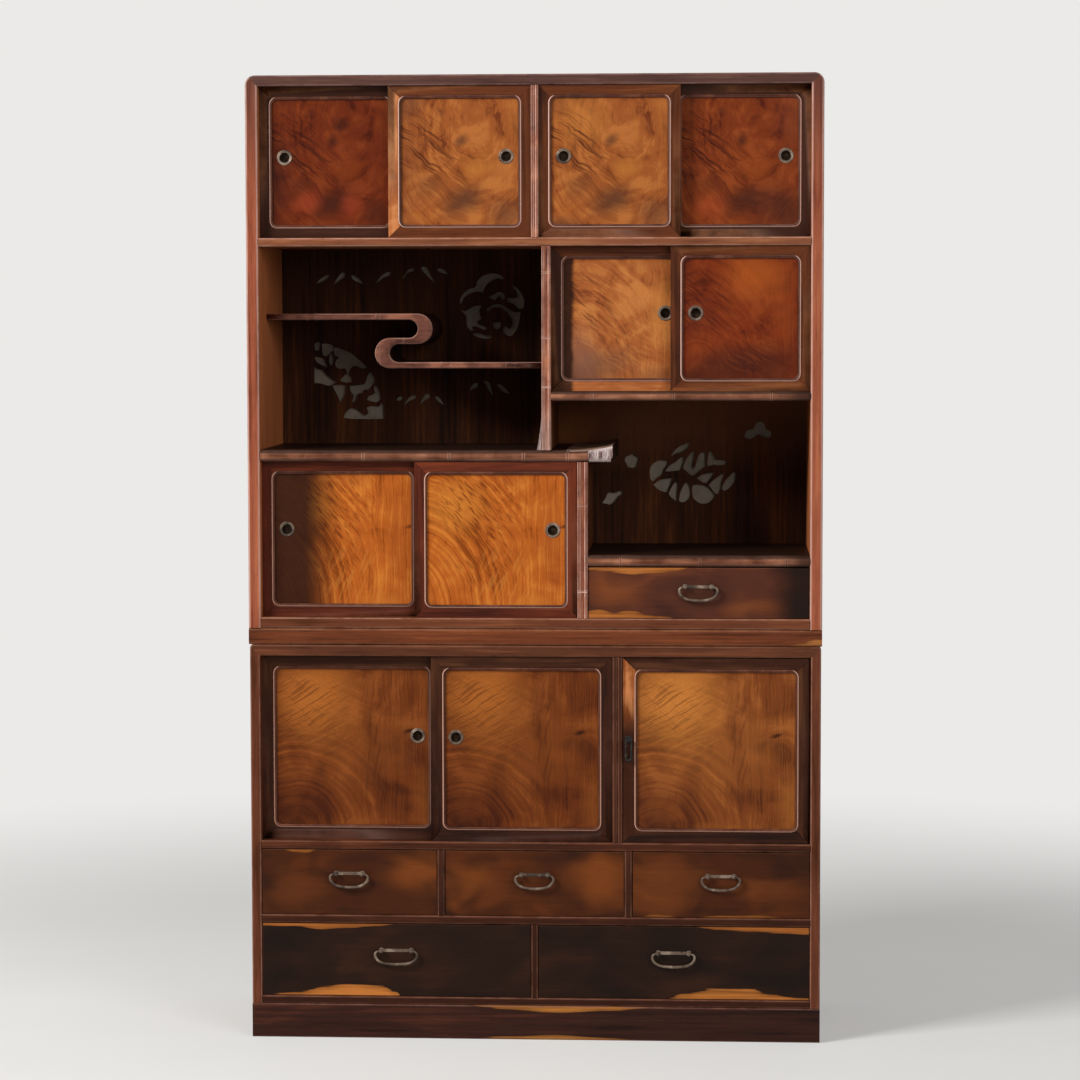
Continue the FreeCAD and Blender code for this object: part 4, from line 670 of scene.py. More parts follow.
# sliding doors: four mitred members, a bead with rounded corners, a panel set back and a round pull
doorShape = {"corner": 15, "bead": 6, "beadRound": 2.9, "panelSet": 4, "panelThick": 6, "seat": 5,
             "tongue": 6, "tongueUp": 7, "tongueDown": 2.5, "proud": 0.5, "arris": 0.7, "joint": 0.05,
             "pullHole": 9.5, "frameArc": 9, "beadArc": 10, "panelArris": 1.2}
doorSets = [
    {"doors": ("row_door_1", "row_door_2", "row_door_3", "row_door_4"), "stile": 17.5, "figure": rowFigure,
     "frame": rowFrameLook, "beadWearAndHighlight": "#dcae9c", "leftStiles": {"row_door_2": brightStile},
     # the rear row doors take the darker frames: partly darker wood, partly painted shade
     "dark": ("row_door_1", "row_door_4"),
     "tints": {"row_door_1": ("#a87a6c", 0.97), "row_door_4": ("#c49a8c", 0.95)},
     # the first row door's first stain is painted shade down its left side
     "stainsAndShade": {"row_door_1": [(0.06, 0.35, 0.26, 0.5, 0, 0.6, "#4e3128"),
                               (0.34, 0.24, 0.16, 0.1, 20, 0.6, "#dc7a50"),
                               (0.64, 0.22, 0.12, 0.14, 0, 0.5, "#d8764e"),
                               (0.58, 0.74, 0.09, 0.08, 0, 0.7, "#4a2c21")],
                "row_door_2": [(0.12, 0.86, 0.2, 0.16, 0, 0.4, "#5e3c2a"),
                               (0.8, 0.45, 0.14, 0.2, 0, 0.4, "#bd7436"),
                               (0.04, 0.4, 0.3, 0.8, 0, 0.45, "#6f3d22")],
                "row_door_3": [(0.3, 0.74, 0.28, 0.26, 0, 0.5, "#bf7735"),
                               (0.16, 0.08, 0.2, 0.1, 0, 0.5, "#52301f")],
                "row_door_4": [(0.74, 0.22, 0.3, 0.2, 0, 0.6, "#543428"),
                               (0.86, 0.78, 0.2, 0.3, 0, 0.4, "#7c4c39"),
                               (0.3, 0.2, 0.2, 0.12, 0, 0.5, "#cf7440")]}},
    {"doors": ("right_cupboard_door_1", "right_cupboard_door_2"), "stile": 17.5, "figure": rightFigure,
     "frame": rowFrameLook, "beadWearAndHighlight": "#dcae9c", "leftStiles": {"right_cupboard_door_1": darkWoodAndShadeStile},
     "brightFoot": "right_cupboard_door_1",
     "tints": {"right_cupboard_door_2": ("#b07c68", 0.97)},
     # painted shadow of the tall post down the left of the first right door
     "paintedShadowSides": {"right_cupboard_door_1": (76, 66, 0.92, "#241009")},
     "stainsAndShade": {"right_cupboard_door_1": [(0.2, 0.25, 0.22, 0.3, 0, 0.5, "#7c5648")],
                "right_cupboard_door_2": [(0.62, 0.20, 0.46, 0.2, 8, 0.75, "#56332a"),
                                          (0.6, 0.78, 0.34, 0.26, 0, 0.7, "#eda24a"),
                                          (0.2, 0.5, 0.2, 0.26, 0, 0.45, "#7a4230"),
                                          (1.0, 0.3, 0.2, 0.7, 0, 0.5, "#5c3022")]}},
    {"doors": ("low_cupboard_door_1", "low_cupboard_door_2"), "stile": 17.5, "figure": lowFigure,
     "frame": redFrameLook, "beadWearAndHighlight": "#d2a28c",
     # painted shadow of the case side down the left of the first low door
     "paintedShadowSides": {"low_cupboard_door_1": (-350, -430, 0.96, "#2a1108")}},
    {"doors": ("base_door_1", "base_door_2", "hinged_door"), "stile": 20.5, "figure": baseFigure,
     "frame": frameLook, "beadWearAndHighlight": "#cf9b84", "leftStiles": {"hinged_door": fadingStile},
     "tints": {"base_door_1": ("#dccfc6", 1.0), "base_door_2": ("#d8cac0", 1.0)}},
]


def frameMember(ring, corners, normals, material):
    choose(ring)
    bpy.ops.object.duplicate()
    member = bpy.context.active_object
    edit(member)
    for corner, normal in zip(corners, normals):
        bpy.ops.mesh.select_all(action="SELECT")
        way = [part * doorShape["joint"] * mm for part in normal]
        place = [corner[k] - way[k] for k in range(3)]
        bpy.ops.mesh.bisect(plane_co=place, plane_no=normal, clear_outer=True, use_fill=True)
    deselectAll()
    member.data.materials.clear()
    member.data.materials.append(material)
    arris(member, doorShape["arris"] * mm)
    return member


def doorFrame(x0, x1, y0, y1, z0, z1, stile, hinged, woods):
    ring = block(x0, x1, y0, y1, z0, z1)
    edit(ring)
    pick("FACE", lambda face: abs(face.normal.y) > 0.9)
    bpy.ops.mesh.inset(thickness=stile, use_even_offset=True)
    bpy.ops.mesh.bridge_edge_loops()
    pick("EDGE", lambda edge: runs(edge, 1) and x0 + mm < edge.verts[0].co.x < x1 - mm)
    # an odd count keeps the mitres clear of the arc's own corners
    bpy.ops.mesh.bevel(offset=doorShape["corner"] * mm, segments=doorShape["frameArc"], affect="EDGES")
    if hinged:    # the pivot edge is rounded so that it can turn
        pick("EDGE", lambda edge: runs(edge, 2) and atLevel(edge, 0, x1))
        bpy.ops.mesh.bevel(offset=(y1 - y0) / 2 - 0.2 * mm, segments=8, affect="EDGES")
    deselectAll()
    low0, low1 = (x0, 0, z0), (x1, 0, z0)
    top0, top1 = (x0, 0, z1), (x1, 0, z1)
    members = [frameMember(ring, (low0, top0), ((1, 0, -1), (1, 0, 1)), woods[0]),
               frameMember(ring, (low1, top1), ((-1, 0, -1), (-1, 0, 1)), woods[1]),
               frameMember(ring, (low0, low1), ((-1, 0, 1), (1, 0, 1)), woods[3]),
               frameMember(ring, (top0, top1), ((-1, 0, -1), (1, 0, -1)), woods[2])]
    bpy.data.objects.remove(ring)
    if not hinged:
        middle = (y0 + y1) / 2
        half = doorShape["tongue"] / 2 * mm
        for a, b in ((z0 - doorShape["tongueDown"] * mm, z0 + mm),
                     (z1 - mm, z1 + doorShape["tongueUp"] * mm)):
            tongue = block(x0 + mm, x1 - mm, middle - half, middle + half, a, b)
            tongue.data.materials.append(woods[2])
            arris(tongue, doorShape["arris"] * mm)
            members.append(tongue)
    whole = joined(members)
    # at some mitres the arris overshoots the arc's end; it is pressed back into the face
    edit(whole)
    for face, outward in ((y0, -1), (y1, 1)):
        pick("VERT", lambda corner: (corner.co.y - face) * outward > 0.01 * mm)
        bpy.ops.transform.resize(value=(1, 0, 1), center_override=(0, face, 0))
    deselectAll()
    return whole


def doorBead(x0, x1, y0, y1, z0, z1):
    bead = block(x0, x1, y0, y1, z0, z1)
    edit(bead)
    pick("EDGE", lambda edge: runs(edge, 1))
    bpy.ops.mesh.bevel(offset=doorShape["corner"] * mm, segments=doorShape["beadArc"], affect="EDGES")
    pick("FACE", lambda face: abs(face.normal.y) > 0.9)
    bpy.ops.mesh.inset(thickness=doorShape["bead"] * mm, use_even_offset=True)
    bpy.ops.mesh.bridge_edge_loops()
    pick("EDGE", lambda edge: atLevel(edge, 1, y0)
         and len([face for face in edge.link_faces if face.normal.y < -0.9]) == 1)
    bpy.ops.mesh.bevel(offset=doorShape["beadRound"] * mm, segments=5, affect="EDGES")
    deselectAll()
    return bead


def doorPanel(x0, x1, y0, z0, z1, pull):
    panel = block(x0, x1, y0, y0 + doorShape["panelThick"] * mm, z0, z1)
    arris(panel, doorShape["panelArris"] * mm)
    if pull:
        hole = barForward(pull.x, y0 + 20 * mm, pull.z, doorShape["pullHole"] * mm, 40 * mm, 40)
        cutAway(panel, hole)
    return panel


def makeDoor(node, doors, stileWood, railWood):
    low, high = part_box(node)
    hinged = node == "hinged_door"
    x0, x1 = low.x, high.x
    y0, y1 = low.y + doorShape["proud"] * mm, high.y
    z0 = low.z + (0 if hinged else doorShape["tongueDown"] * mm)
    z1 = high.z - (0 if hinged else doorShape["tongueUp"] * mm)
    stile = doors["stile"] * mm
    leftWood = doors.get("leftStiles", {}).get(node, stileWood)
    footRail = brightRail if node == doors.get("brightFoot") else railWood
    ring = doorFrame(x0, x1, y0, y1, z0, z1, stile, hinged, (leftWood, stileWood, railWood, footRail))
    settle(ring, node + "_members", node, (), (node,))
    inner = (x0 + stile, x1 - stile, z0 + stile, z1 - stile)
    bead = doorBead(inner[0], inner[1], low.y, y0 + doorShape["panelSet"] * mm, inner[2], inner[3])
    # the bead's painted highlights face away from the door's middle and run along its lower half
    wornAndHighlight = dict(beadLook, middle=(x0 + x1) / 2, level=(z0 + z1) / 2, wornAndHighlight=doors["beadWearAndHighlight"])
    beadWood = woodMaterial(node + "Bead", wornAndHighlight, "z")
    settle(bead, node + "_bead", node, (beadWood,), (node,), 50)
    pull = None
    if not hinged:
        a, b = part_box(node + "_pull")
        pull = (a + b) / 2
    seat = doorShape["seat"] * mm
    yPanel = y0 + doorShape["panelSet"] * mm
    panel = doorPanel(inner[0] - seat, inner[1] + seat, yPanel, inner[2] - seat, inner[3] + seat, pull)
    look = dict(doors["figure"], spots=doors["figure"]["spots"] + doors.get("stainsAndShade", {}).get(node, []))
    # painted shadow down one side of the panel
    if node in doors.get("paintedShadowSides", {}):
        look["paintedShadowSide"] = doors["paintedShadowSides"][node]
    figure = panelMaterial(node + "Figure", look, (low, high), doors.get("tints", {}).get(node))
    settle(panel, node + "_panel", node, (figure,), (node,))
    if pull:
        cup = copyTo(roundPull, (pull.x, yPanel, pull.z))
        settle(cup, node + "_cup", node, (), (node + "_pull",), 40)


# a round pull: flange, hollow rim and cup, from the outer edge inwards (inset, rise)
pullShape = {"radius": 14.0, "flange": 0.5, "cup": 9.4, "back": 6.6, "hollow": 9.0,
             "rim": [(0.45, 0.5), (0.9, 0.2), (1.0, -0.05), (0.7, -0.45), (0.5, -0.1), (0.5, 0.3), (0.4, 0.0),
                     (0.5, -0.7), (0.25, -4.4), (0.8, -0.4), (3.6, -0.1), (1.4, 0.5)]}


def makeRoundPull():
    cup = barForward(0, 0, 0, pullShape["radius"] * mm, pullShape["flange"] * mm, 48)
    edit(cup)
    pick("FACE", lambda face: face.normal.y > 0.9)
    bpy.ops.mesh.inset(thickness=(pullShape["radius"] - pullShape["cup"]) * mm)
    bpy.ops.mesh.extrude_region_move(TRANSFORM_OT_translate={"value": (0, pullShape["back"] * mm, 0)})
    pick("FACE", lambda face: face.normal.y < -0.9)
    for inward, rise in pullShape["rim"]:
        bpy.ops.mesh.inset(thickness=inward * mm, depth=rise * mm)
    for material in (bronze, cupBronze):
        cup.data.materials.append(material)
    cup.active_material_index = 1
    hollow = pullShape["hollow"] * mm
    pick("FACE", lambda face: face.calc_center_median().xz.length < hollow and face.normal.y < 0.5)
    bpy.ops.object.material_slot_assign()
    deselectAll()
    return cup


roundPull = makeRoundPull()
for doors in doorSets:
    stileWood = woodMaterial(doors["doors"][0] + "Stiles", doors["frame"], "z")
    railLook = dict(doors["frame"], seed=doors["frame"]["seed"] + 50)
    railWood = woodMaterial(doors["doors"][0] + "Rails", railLook, "x")
    for node in doors["doors"]:
        # the rear doors take the darker frames, partly painted shade
        dark = node in doors.get("dark", ())
        makeDoor(node, doors, darkWoodAndShadeStile if dark else stileWood, darkWoodAndShadeRail if dark else railWood)
bpy.data.objects.remove(roundPull)
print("doors made")

# drawers: a thick front lapped over a paulownia box
drawerShape = {"front": 18, "arris": 1.6, "lap": 8, "wall": 10, "bottom": 10, "drop": 5,
               "inset": 0.3, "boxArris": 0.8}
smallDrawerLook = {"dark": "#30170b", "mid": "#421f0d", "light": "#572a10", "lines": 0.22, "wearAndHighlight": 0.4,
                   "wornAndHighlight": "#8a5a44", "seed": 49, "toneLong": 120, "tone": 75,
                   "detail": 1.5, "pores": 0.2, "spread": 0.17}
# the niche drawer carries a painted shadow over its right end, where the right side board shades it
nicheDrawerLook = dict(smallDrawerLook, dark="#361e18", mid="#50291c", light="#693822", seed=51,
                       paintedShadowSide=(420, 485, 0.93, "#150b07"))
largeDrawerLook = {"dark": "#1a0f09", "mid": "#23130c", "light": "#301b10", "lines": 0.2, "wearAndHighlight": 0.4,
                   "wornAndHighlight": "#6e4a3c", "seed": 53, "toneLong": 200, "tone": 90, "detail": 2.0, "pores": 0.2}
# sapwood left along an edge: edge height, way it hangs, from and to, greatest depth, depth by length, colour
drawerSap = {
    "niche_drawer": [(881.5, -1, 100, 290, 12, [(0, .35), (.2, .5), (.42, 1), (.6, .75), (.85, .5), (1, 0)],
                      "#a9652e"),
                     (789, 1, 98, 265, 15, [(0, .8), (.12, 1), (.3, .6), (.45, .85), (.8, .25), (1, 0)],
                      "#a3602b")],
    "small_drawer_1": [(353, -1, -470, -405, 7, [(0, 0), (.35, .6), (.7, .8), (1, 0)], "#8a5020")],
    "small_drawer_2": [],
    "small_drawer_3": [(233, 1, 190, 262, 7, [(0, 0), (.4, .6), (.8, .4), (1, 0)], "#8c5220"),
                       (233, 1, 300, 470, 7, [(0, 0), (.3, .5), (.7, .7), (1, 0)], "#8c5220")],
    "large_drawer_1": [(214, -1, -505, -255, 10,
                        [(0, .35), (.2, .5), (.42, 1), (.62, .75), (.85, .4), (1, 0)], "#ab642c"),
                       (80, 1, -505, -250, 23,
                        [(0, 0), (.25, .2), (.45, .65), (.64, 1), (.86, .75), (.96, .3), (1, 0)],
                        "#b36c30")],
    "large_drawer_2": [(214, -1, 295, 506, 12, [(0, 0), (.2, .35), (.5, .6), (.8, .8), (1, 1)], "#a8622b"),
                       (80, 1, 245, 492, 20, [(0, 0), (.12, .5), (.35, .9), (.6, 1), (.8, .5), (1, .1)],
                        "#b36c30")],
}

# warmer and darker clouds in the fronts: x, z, reach across, reach up, strength, colour
drawerPatches = {
    "niche_drawer": [(150, 838, 80, 50, 0.42, "#8c4b22"), (300, 840, 95, 46, 0.55, "#3c2219"),
                     (410, 808, 80, 26, 0.5, "#7a431f")],
    "small_drawer_1": [(-215, 305, 105, 62, 0.6, "#8a481c"), (-445, 282, 90, 46, 0.35, "#753e1c"),
                       (-330, 345, 80, 26, 0.5, "#2c150d")],
    "small_drawer_2": [(-125, 296, 105, 56, 0.55, "#86461b"), (118, 305, 95, 62, 0.6, "#8a481c"),
                       (40, 340, 60, 26, 0.4, "#2f170e")],
    "small_drawer_3": [(235, 292, 130, 50, 0.45, "#7c411b"), (436, 284, 105, 42, 0.4, "#773e1b"),
                       (480, 340, 60, 26, 0.5, "#2f170e")],
    "large_drawer_1": [],
    "large_drawer_2": [],
}


def makeDrawer(node, look):
    low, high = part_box(node)
    front = block(low.x, high.x, low.y, low.y + drawerShape["front"] * mm, low.z, high.z)
    arris(front, drawerShape["arris"] * mm, 3)
    wood = woodMaterial(node + "Front", dict(look, sap=drawerSap[node], patches=drawerPatches[node]), "x")
    settle(front, node + "_front", node, (wood,), (node,))
    inset = drawerShape["inset"] * mm
    tray = block(low.x + inset, high.x - inset, low.y + (drawerShape["front"] - drawerShape["lap"]) * mm,
                 high.y, low.z + inset, high.z - drawerShape["drop"] * mm)
    edit(tray)
    pick("FACE", lambda face: face.normal.z > 0.9)
    bpy.ops.mesh.inset(thickness=drawerShape["wall"] * mm)
    deep = high.z - low.z - (drawerShape["drop"] + drawerShape["bottom"]) * mm
    bpy.ops.mesh.extrude_region_move(TRANSFORM_OT_translate={"value": (0, 0, -deep)})
    deselectAll()
    arris(tray, drawerShape["boxArris"] * mm)
    settle(tray, node + "_box", node, (boxWood,), (node,))


# bail pulls: post profile as (depth, radius) from the clinched end inside to the knob in front
postShape = {"profile": [(19.6, 4.6), (18.1, 4.9), (18.0, 2.4), (0.2, 2.4), (0.1, 5.2), (-1.2, 4.8),
                         (-1.9, 3.0), (-3.6, 2.5), (-4.6, 3.4), (-6.0, 4.2), (-7.6, 4.5), (-9.4, 4.2),
                         (-10.9, 3.1), (-11.9, 1.4)],
             "stand": 8.0, "strip": 3.0, "stripThick": 1.1, "stripArris": 0.45}
# the large drawers' bails are a little wider
bailShape = {"posts": 48.5, "wider": {"large_drawer_1": 8.0, "large_drawer_2": 8.0}, "middle": 12,
             "half": [(-22.0, 0.0, 1.5), (-29.0, 0.3, 1.7), (-34.6, -2.2, 2.2), (-35.8, -8.0, 2.6),
                      (-33.6, -14.5, 2.7), (-27.0, -20.5, 2.6), (-16.0, -24.2, 2.6), (0.0, -25.0, 2.75)]}


def turnedPost():
    steps = postShape["profile"]
    post = barForward(0, steps[0][0] * mm, 0, steps[0][1] * mm, (steps[0][0] - steps[1][0]) * mm, 20)
    edit(post)
    pick("FACE", lambda face: face.normal.y < -0.9)
    radius = steps[0][1]
    level = steps[1][0]
    for depth, wide in steps[1:]:
        if depth != level:
            bpy.ops.mesh.extrude_region_move(TRANSFORM_OT_translate={"value": (0, (depth - level) * mm, 0)})
        bpy.ops.transform.resize(value=(wide / radius, 1, wide / radius), center_override=(0, depth * mm, 0))
        radius, level = wide, depth
    deselectAll()
    return post


def bentWire(points, closed=False):
    curve = bpy.data.curves.new("wire", "CURVE")
    curve.dimensions = "3D"
    curve.bevel_depth = mm
    curve.bevel_resolution = 4
    curve.resolution_u = 5
    curve.use_fill_caps = True
    spline = curve.splines.new("NURBS")
    spline.points.add(len(points) - 1)
    for point, (x, z, radius) in zip(spline.points, points):
        point.co = (x * mm, 0, z * mm, 1)
        point.radius = radius
    spline.order_u = 4
    spline.use_cyclic_u = closed
    spline.use_endpoint_u = not closed
    wire = bpy.data.objects.new("wire", curve)
    bpy.context.collection.objects.link(wire)
    choose(wire)
    bpy.ops.object.convert(target="MESH")
    return bpy.context.active_object


def makeBail(node, post, wire):
    low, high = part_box(node)
    a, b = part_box(node + "_bail_mounts")
    x, z = (a.x + b.x) / 2, (a.z + b.z) / 2
    wider = bailShape["wider"].get(node, 0.0)
    apart = (bailShape["posts"] + wider) / 2 * mm
    parts = [copyTo(post, (x - apart, low.y, z)), copyTo(post, (x + apart, low.y, z))]
    half = postShape["strip"] * mm
    thick = postShape["stripThick"] * mm
    strip = block(x - apart, x + apart, low.y - thick, low.y + 0.1 * mm, z - half, z + half)
    arris(strip, postShape["stripArris"] * mm)
    parts.append(strip)
    settle(joined(parts), node + "_posts", node, (bronze,), (node + "_bail_mounts",), 40)
    bow = copyTo(wire, (x, low.y - postShape["stand"] * mm, z))
    if wider:
        edit(bow)
        for side in (-1, 1):
            pick("VERT", lambda corner: (corner.co.x - x) * side > bailShape["middle"] * mm)
            bpy.ops.transform.translate(value=(side * wider / 2 * mm, 0, 0))
        deselectAll()
    settle(bow, node + "_bow", node + "_bail", (bronze,), (node + "_bail",), 60)


post = turnedPost()
leftHalf = bailShape["half"]
wire = bentWire(leftHalf + [(-x, z, radius) for x, z, radius in leftHalf[-2::-1]])
for node in drawerSap:
    makeDrawer(node, {"niche": nicheDrawerLook, "small": smallDrawerLook, "large": largeDrawerLook}[node[:5]])
    makeBail(node, post, wire)
bpy.data.objects.remove(post)
bpy.data.objects.remove(wire)
print("drawers and bails made")

# the drop pull of the hinged door hangs from an eye on a rose
dropShape = {"rose": 7.6, "roseThick": 1.2, "sunk": 0.2, "steps": ((1.6, 0.0), (1.0, 0.5)), "hang": 1.7,
             "eye": 4.4, "eyeWide": 4.2, "hole": 1.9, "stem": 1.7, "stemIn": 12, "eyeBack": 2.2,
             "pin": 2.45, "pinIn": 12, "board": 18,
             "loop": [(0, 0, 1.5), (-4.6, 0, 1.5), (-4.9, -3.5, 1.6), (-4.9, -10, 1.7), (-5.0, -20, 1.9),
                      (-5.2, -30, 2.2), (-4.2, -37.4, 2.4), (0, -38.4, 2.6), (4.2, -37.4, 2.4),
                      (5.2, -30, 2.2), (5.0, -20, 1.9), (4.9, -10, 1.7), (4.9, -3.5, 1.6), (4.6, 0, 1.5)]}


def makeDropPull():
    low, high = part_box("drop_pull")
    x, y, z = (low.x + high.x) / 2, (low.y + high.y) / 2, high.z - dropShape["hang"] * mm
    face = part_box("hinged_door")[0].y + doorShape["proud"] * mm
    loop = bentWire(dropShape["loop"], True)
    bpy.ops.transform.translate(value=(x, y, z))
    applied()
    settle(loop, "drop_pull_loop", "drop_pull", (iron,), ("drop_pull",), 60)
    sunk = dropShape["sunk"]
    rose = barForward(x, face + sunk * mm, z, dropShape["rose"] * mm, (dropShape["roseThick"] + sunk) * mm, 8)
    edit(rose)
    pick("FACE", lambda side: side.normal.y < -0.9)
    for inward, rise in dropShape["steps"]:
        bpy.ops.mesh.inset(thickness=inward * mm, depth=rise * mm)
    deselectAll()
    arris(rose, 0.25 * mm)
    back = dropShape["stemIn"] * mm
    reach = back + face - y - dropShape["eyeBack"] * mm
    stem = barForward(x, face + back, z, dropShape["stem"] * mm, reach, 16)
    arris(stem, 0.2 * mm)
    eye = bar("x", (x, y, z), dropShape["eye"] * mm, dropShape["eyeWide"] * mm, 20)
    arris(eye, 0.5 * mm)
    cutAway(eye, bar("x", (x, y, z), dropShape["hole"] * mm, 20 * mm, 20))
    pins = []
    low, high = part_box("hinged_door_fittings")
    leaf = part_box("hinged_door")
    inside = dropShape["pinIn"] * mm
    for z0, z1 in ((low.z, leaf[0].z + inside), (leaf[1].z - inside, high.z)):
        half = dropShape["board"] / 2 * mm
        middle = (leaf[1].x - half, leaf[1].y - half, (z0 + z1) / 2)
        pin = bar("z", middle, dropShape["pin"] * mm, z1 - z0, 20)
        arris(pin, 0.4 * mm)
        pins.append(pin)
    fittings = joined([rose, stem, eye] + pins)
    settle(fittings, "hinged_door_hardware", "hinged_door", (iron,), ("hinged_door_fittings",), 35)


makeDropPull()
print("drop pull made")

# posts: a bead along each edge of the front, a sunk flat between, and joints like bamboo
postRun = {"front": -182, "depth": 44, "round": 1.8, "swell": 0.9, "sink": 1.6, "reach": 5.5,
           "cuts": (-2.6, -1.5, -0.5, 0.5, 1.5, 2.6),
           "rings": ((-1.5, 1.0), (1.5, 1.0), (-0.5, -0.4), (0.5, -0.4))}
posts = [
    {"name": "row_post", "x": (-4.25, 9.25), "z": (1488, 1765), "bead": 4.4, "gap": 1.2, "joints": ()},
    {"name": "tall_post", "x": (14.75, 31.25), "z": (1098, 1472), "bead": 4.0, "gap": 1.2,
     "joints": (0.31, 0.55, 0.87)},
    {"name": "short_post", "x": (80.35, 98.85), "z": (788, 1076), "bead": 4.6, "gap": 1.2,
     "joints": (0.17, 0.72)},
]


def makePost(look):
    x0, x1 = look["x"][0] * mm, look["x"][1] * mm
    z0, z1 = look["z"][0] * mm, look["z"][1] * mm
    y0 = postRun["front"] * mm
    y1 = y0 + postRun["depth"] * mm
    post = block(x0, x1, y0, y1, z0, z1)
    edit(post)
    bead, gap = look["bead"] * mm, look["gap"] * mm
    behind = y0 + postRun["reach"] * mm    # the doors pass behind the joints
    sliceAt(1, [behind])
    sliceAt(0, (x0 + bead, x0 + bead + gap, x1 - bead - gap, x1 - bead))
    pick("VERT", lambda corner: abs(corner.co.y - y0) < 1e-6
         and x0 + bead + gap / 2 < corner.co.x < x1 - bead - gap / 2)
    bpy.ops.transform.translate(value=(0, postRun["sink"] * mm, 0))
    pick("EDGE", lambda edge: runs(edge, 2) and edge.verts[0].co.y < y0 + mm * 0.01)
    bpy.ops.mesh.bevel(offset=postRun["round"] * mm, segments=4, affect="EDGES")
    centre = ((x0 + x1) / 2, y1, 0)
    wide, swell = x1 - x0, postRun["swell"] * mm
    for share in look["joints"]:
        level = z0 + share * (z1 - z0)
        sliceAt(2, [level + step * mm for step in postRun["cuts"]])
        for step, part in postRun["rings"]:
            pick("VERT", lambda corner: abs(corner.co.z - level - step * mm) < 0.05 * mm
                 and corner.co.y < behind - 0.05 * mm)
            scale = (1 + 2 * part * swell / wide, 1 + part * swell / (y1 - y0), 1)
            bpy.ops.transform.resize(value=scale, center_override=centre)
    deselectAll()
    wood = footWood if look["name"] == "tall_post" else postWood
    settle(post, look["name"] + "_beaded", "cabinet", (wood,), ("bamboo_posts",), 40)


for look in posts:
    makePost(look)

# the tall post's foot spreads to the left like a root, fluted by hand
flareShape = {"x": (14.45, 15.75), "wide": 9.0, "tall": 85.0, "y": (-177.4, -138.0), "z": 1098.0, "steps": 14,
              "columns": 6, "flute": 0.9, "near": 0.25}


def spreadAt(share):
    # how far the root reaches to the left, by its share of the height
    return flareShape["wide"] * mm * (1 - share) ** 2.0


def makeFlare():
    x0, x1 = (part * mm for part in flareShape["x"])
    y0, y1 = (part * mm for part in flareShape["y"])
    z0, tall = flareShape["z"] * mm, flareShape["tall"] * mm
    steps, columns = flareShape["steps"], flareShape["columns"]
    flare = block(x0, x1, y0, y1, z0, z0 + tall)
    edit(flare)
    sliceAt(2, [z0 + tall * k / steps for k in range(1, steps)])
    sliceAt(0, [x0 + (x1 - x0) * k / columns for k in range(1, columns)])
    for k in range(steps):
        level = z0 + tall * k / steps
        pick("VERT", lambda corner: abs(corner.co.z - level) < 0.01 * mm)
        grow = (x1 - x0 + spreadAt(k / steps)) / (x1 - x0)
        bpy.ops.transform.resize(value=(grow, 1, 1), center_override=(x1, 0, level))

    def inColumn(corner):
        wide = x1 - x0 + spreadAt((corner.co.z - z0) / tall)
        return abs((x1 - corner.co.x) / wide * columns - column) < flareShape["near"]

    for column in range(1, columns, 2):
        pick("VERT", lambda corner: abs(corner.co.y - y0) < 0.01 * mm and inColumn(corner))
        bpy.ops.transform.translate(value=(0, flareShape["flute"] * mm, 0))
    deselectAll()
    settle(flare, "tall_post_flare", "cabinet", (rootWood,), ("bamboo_posts",), 50)


makeFlare()
print("posts made")

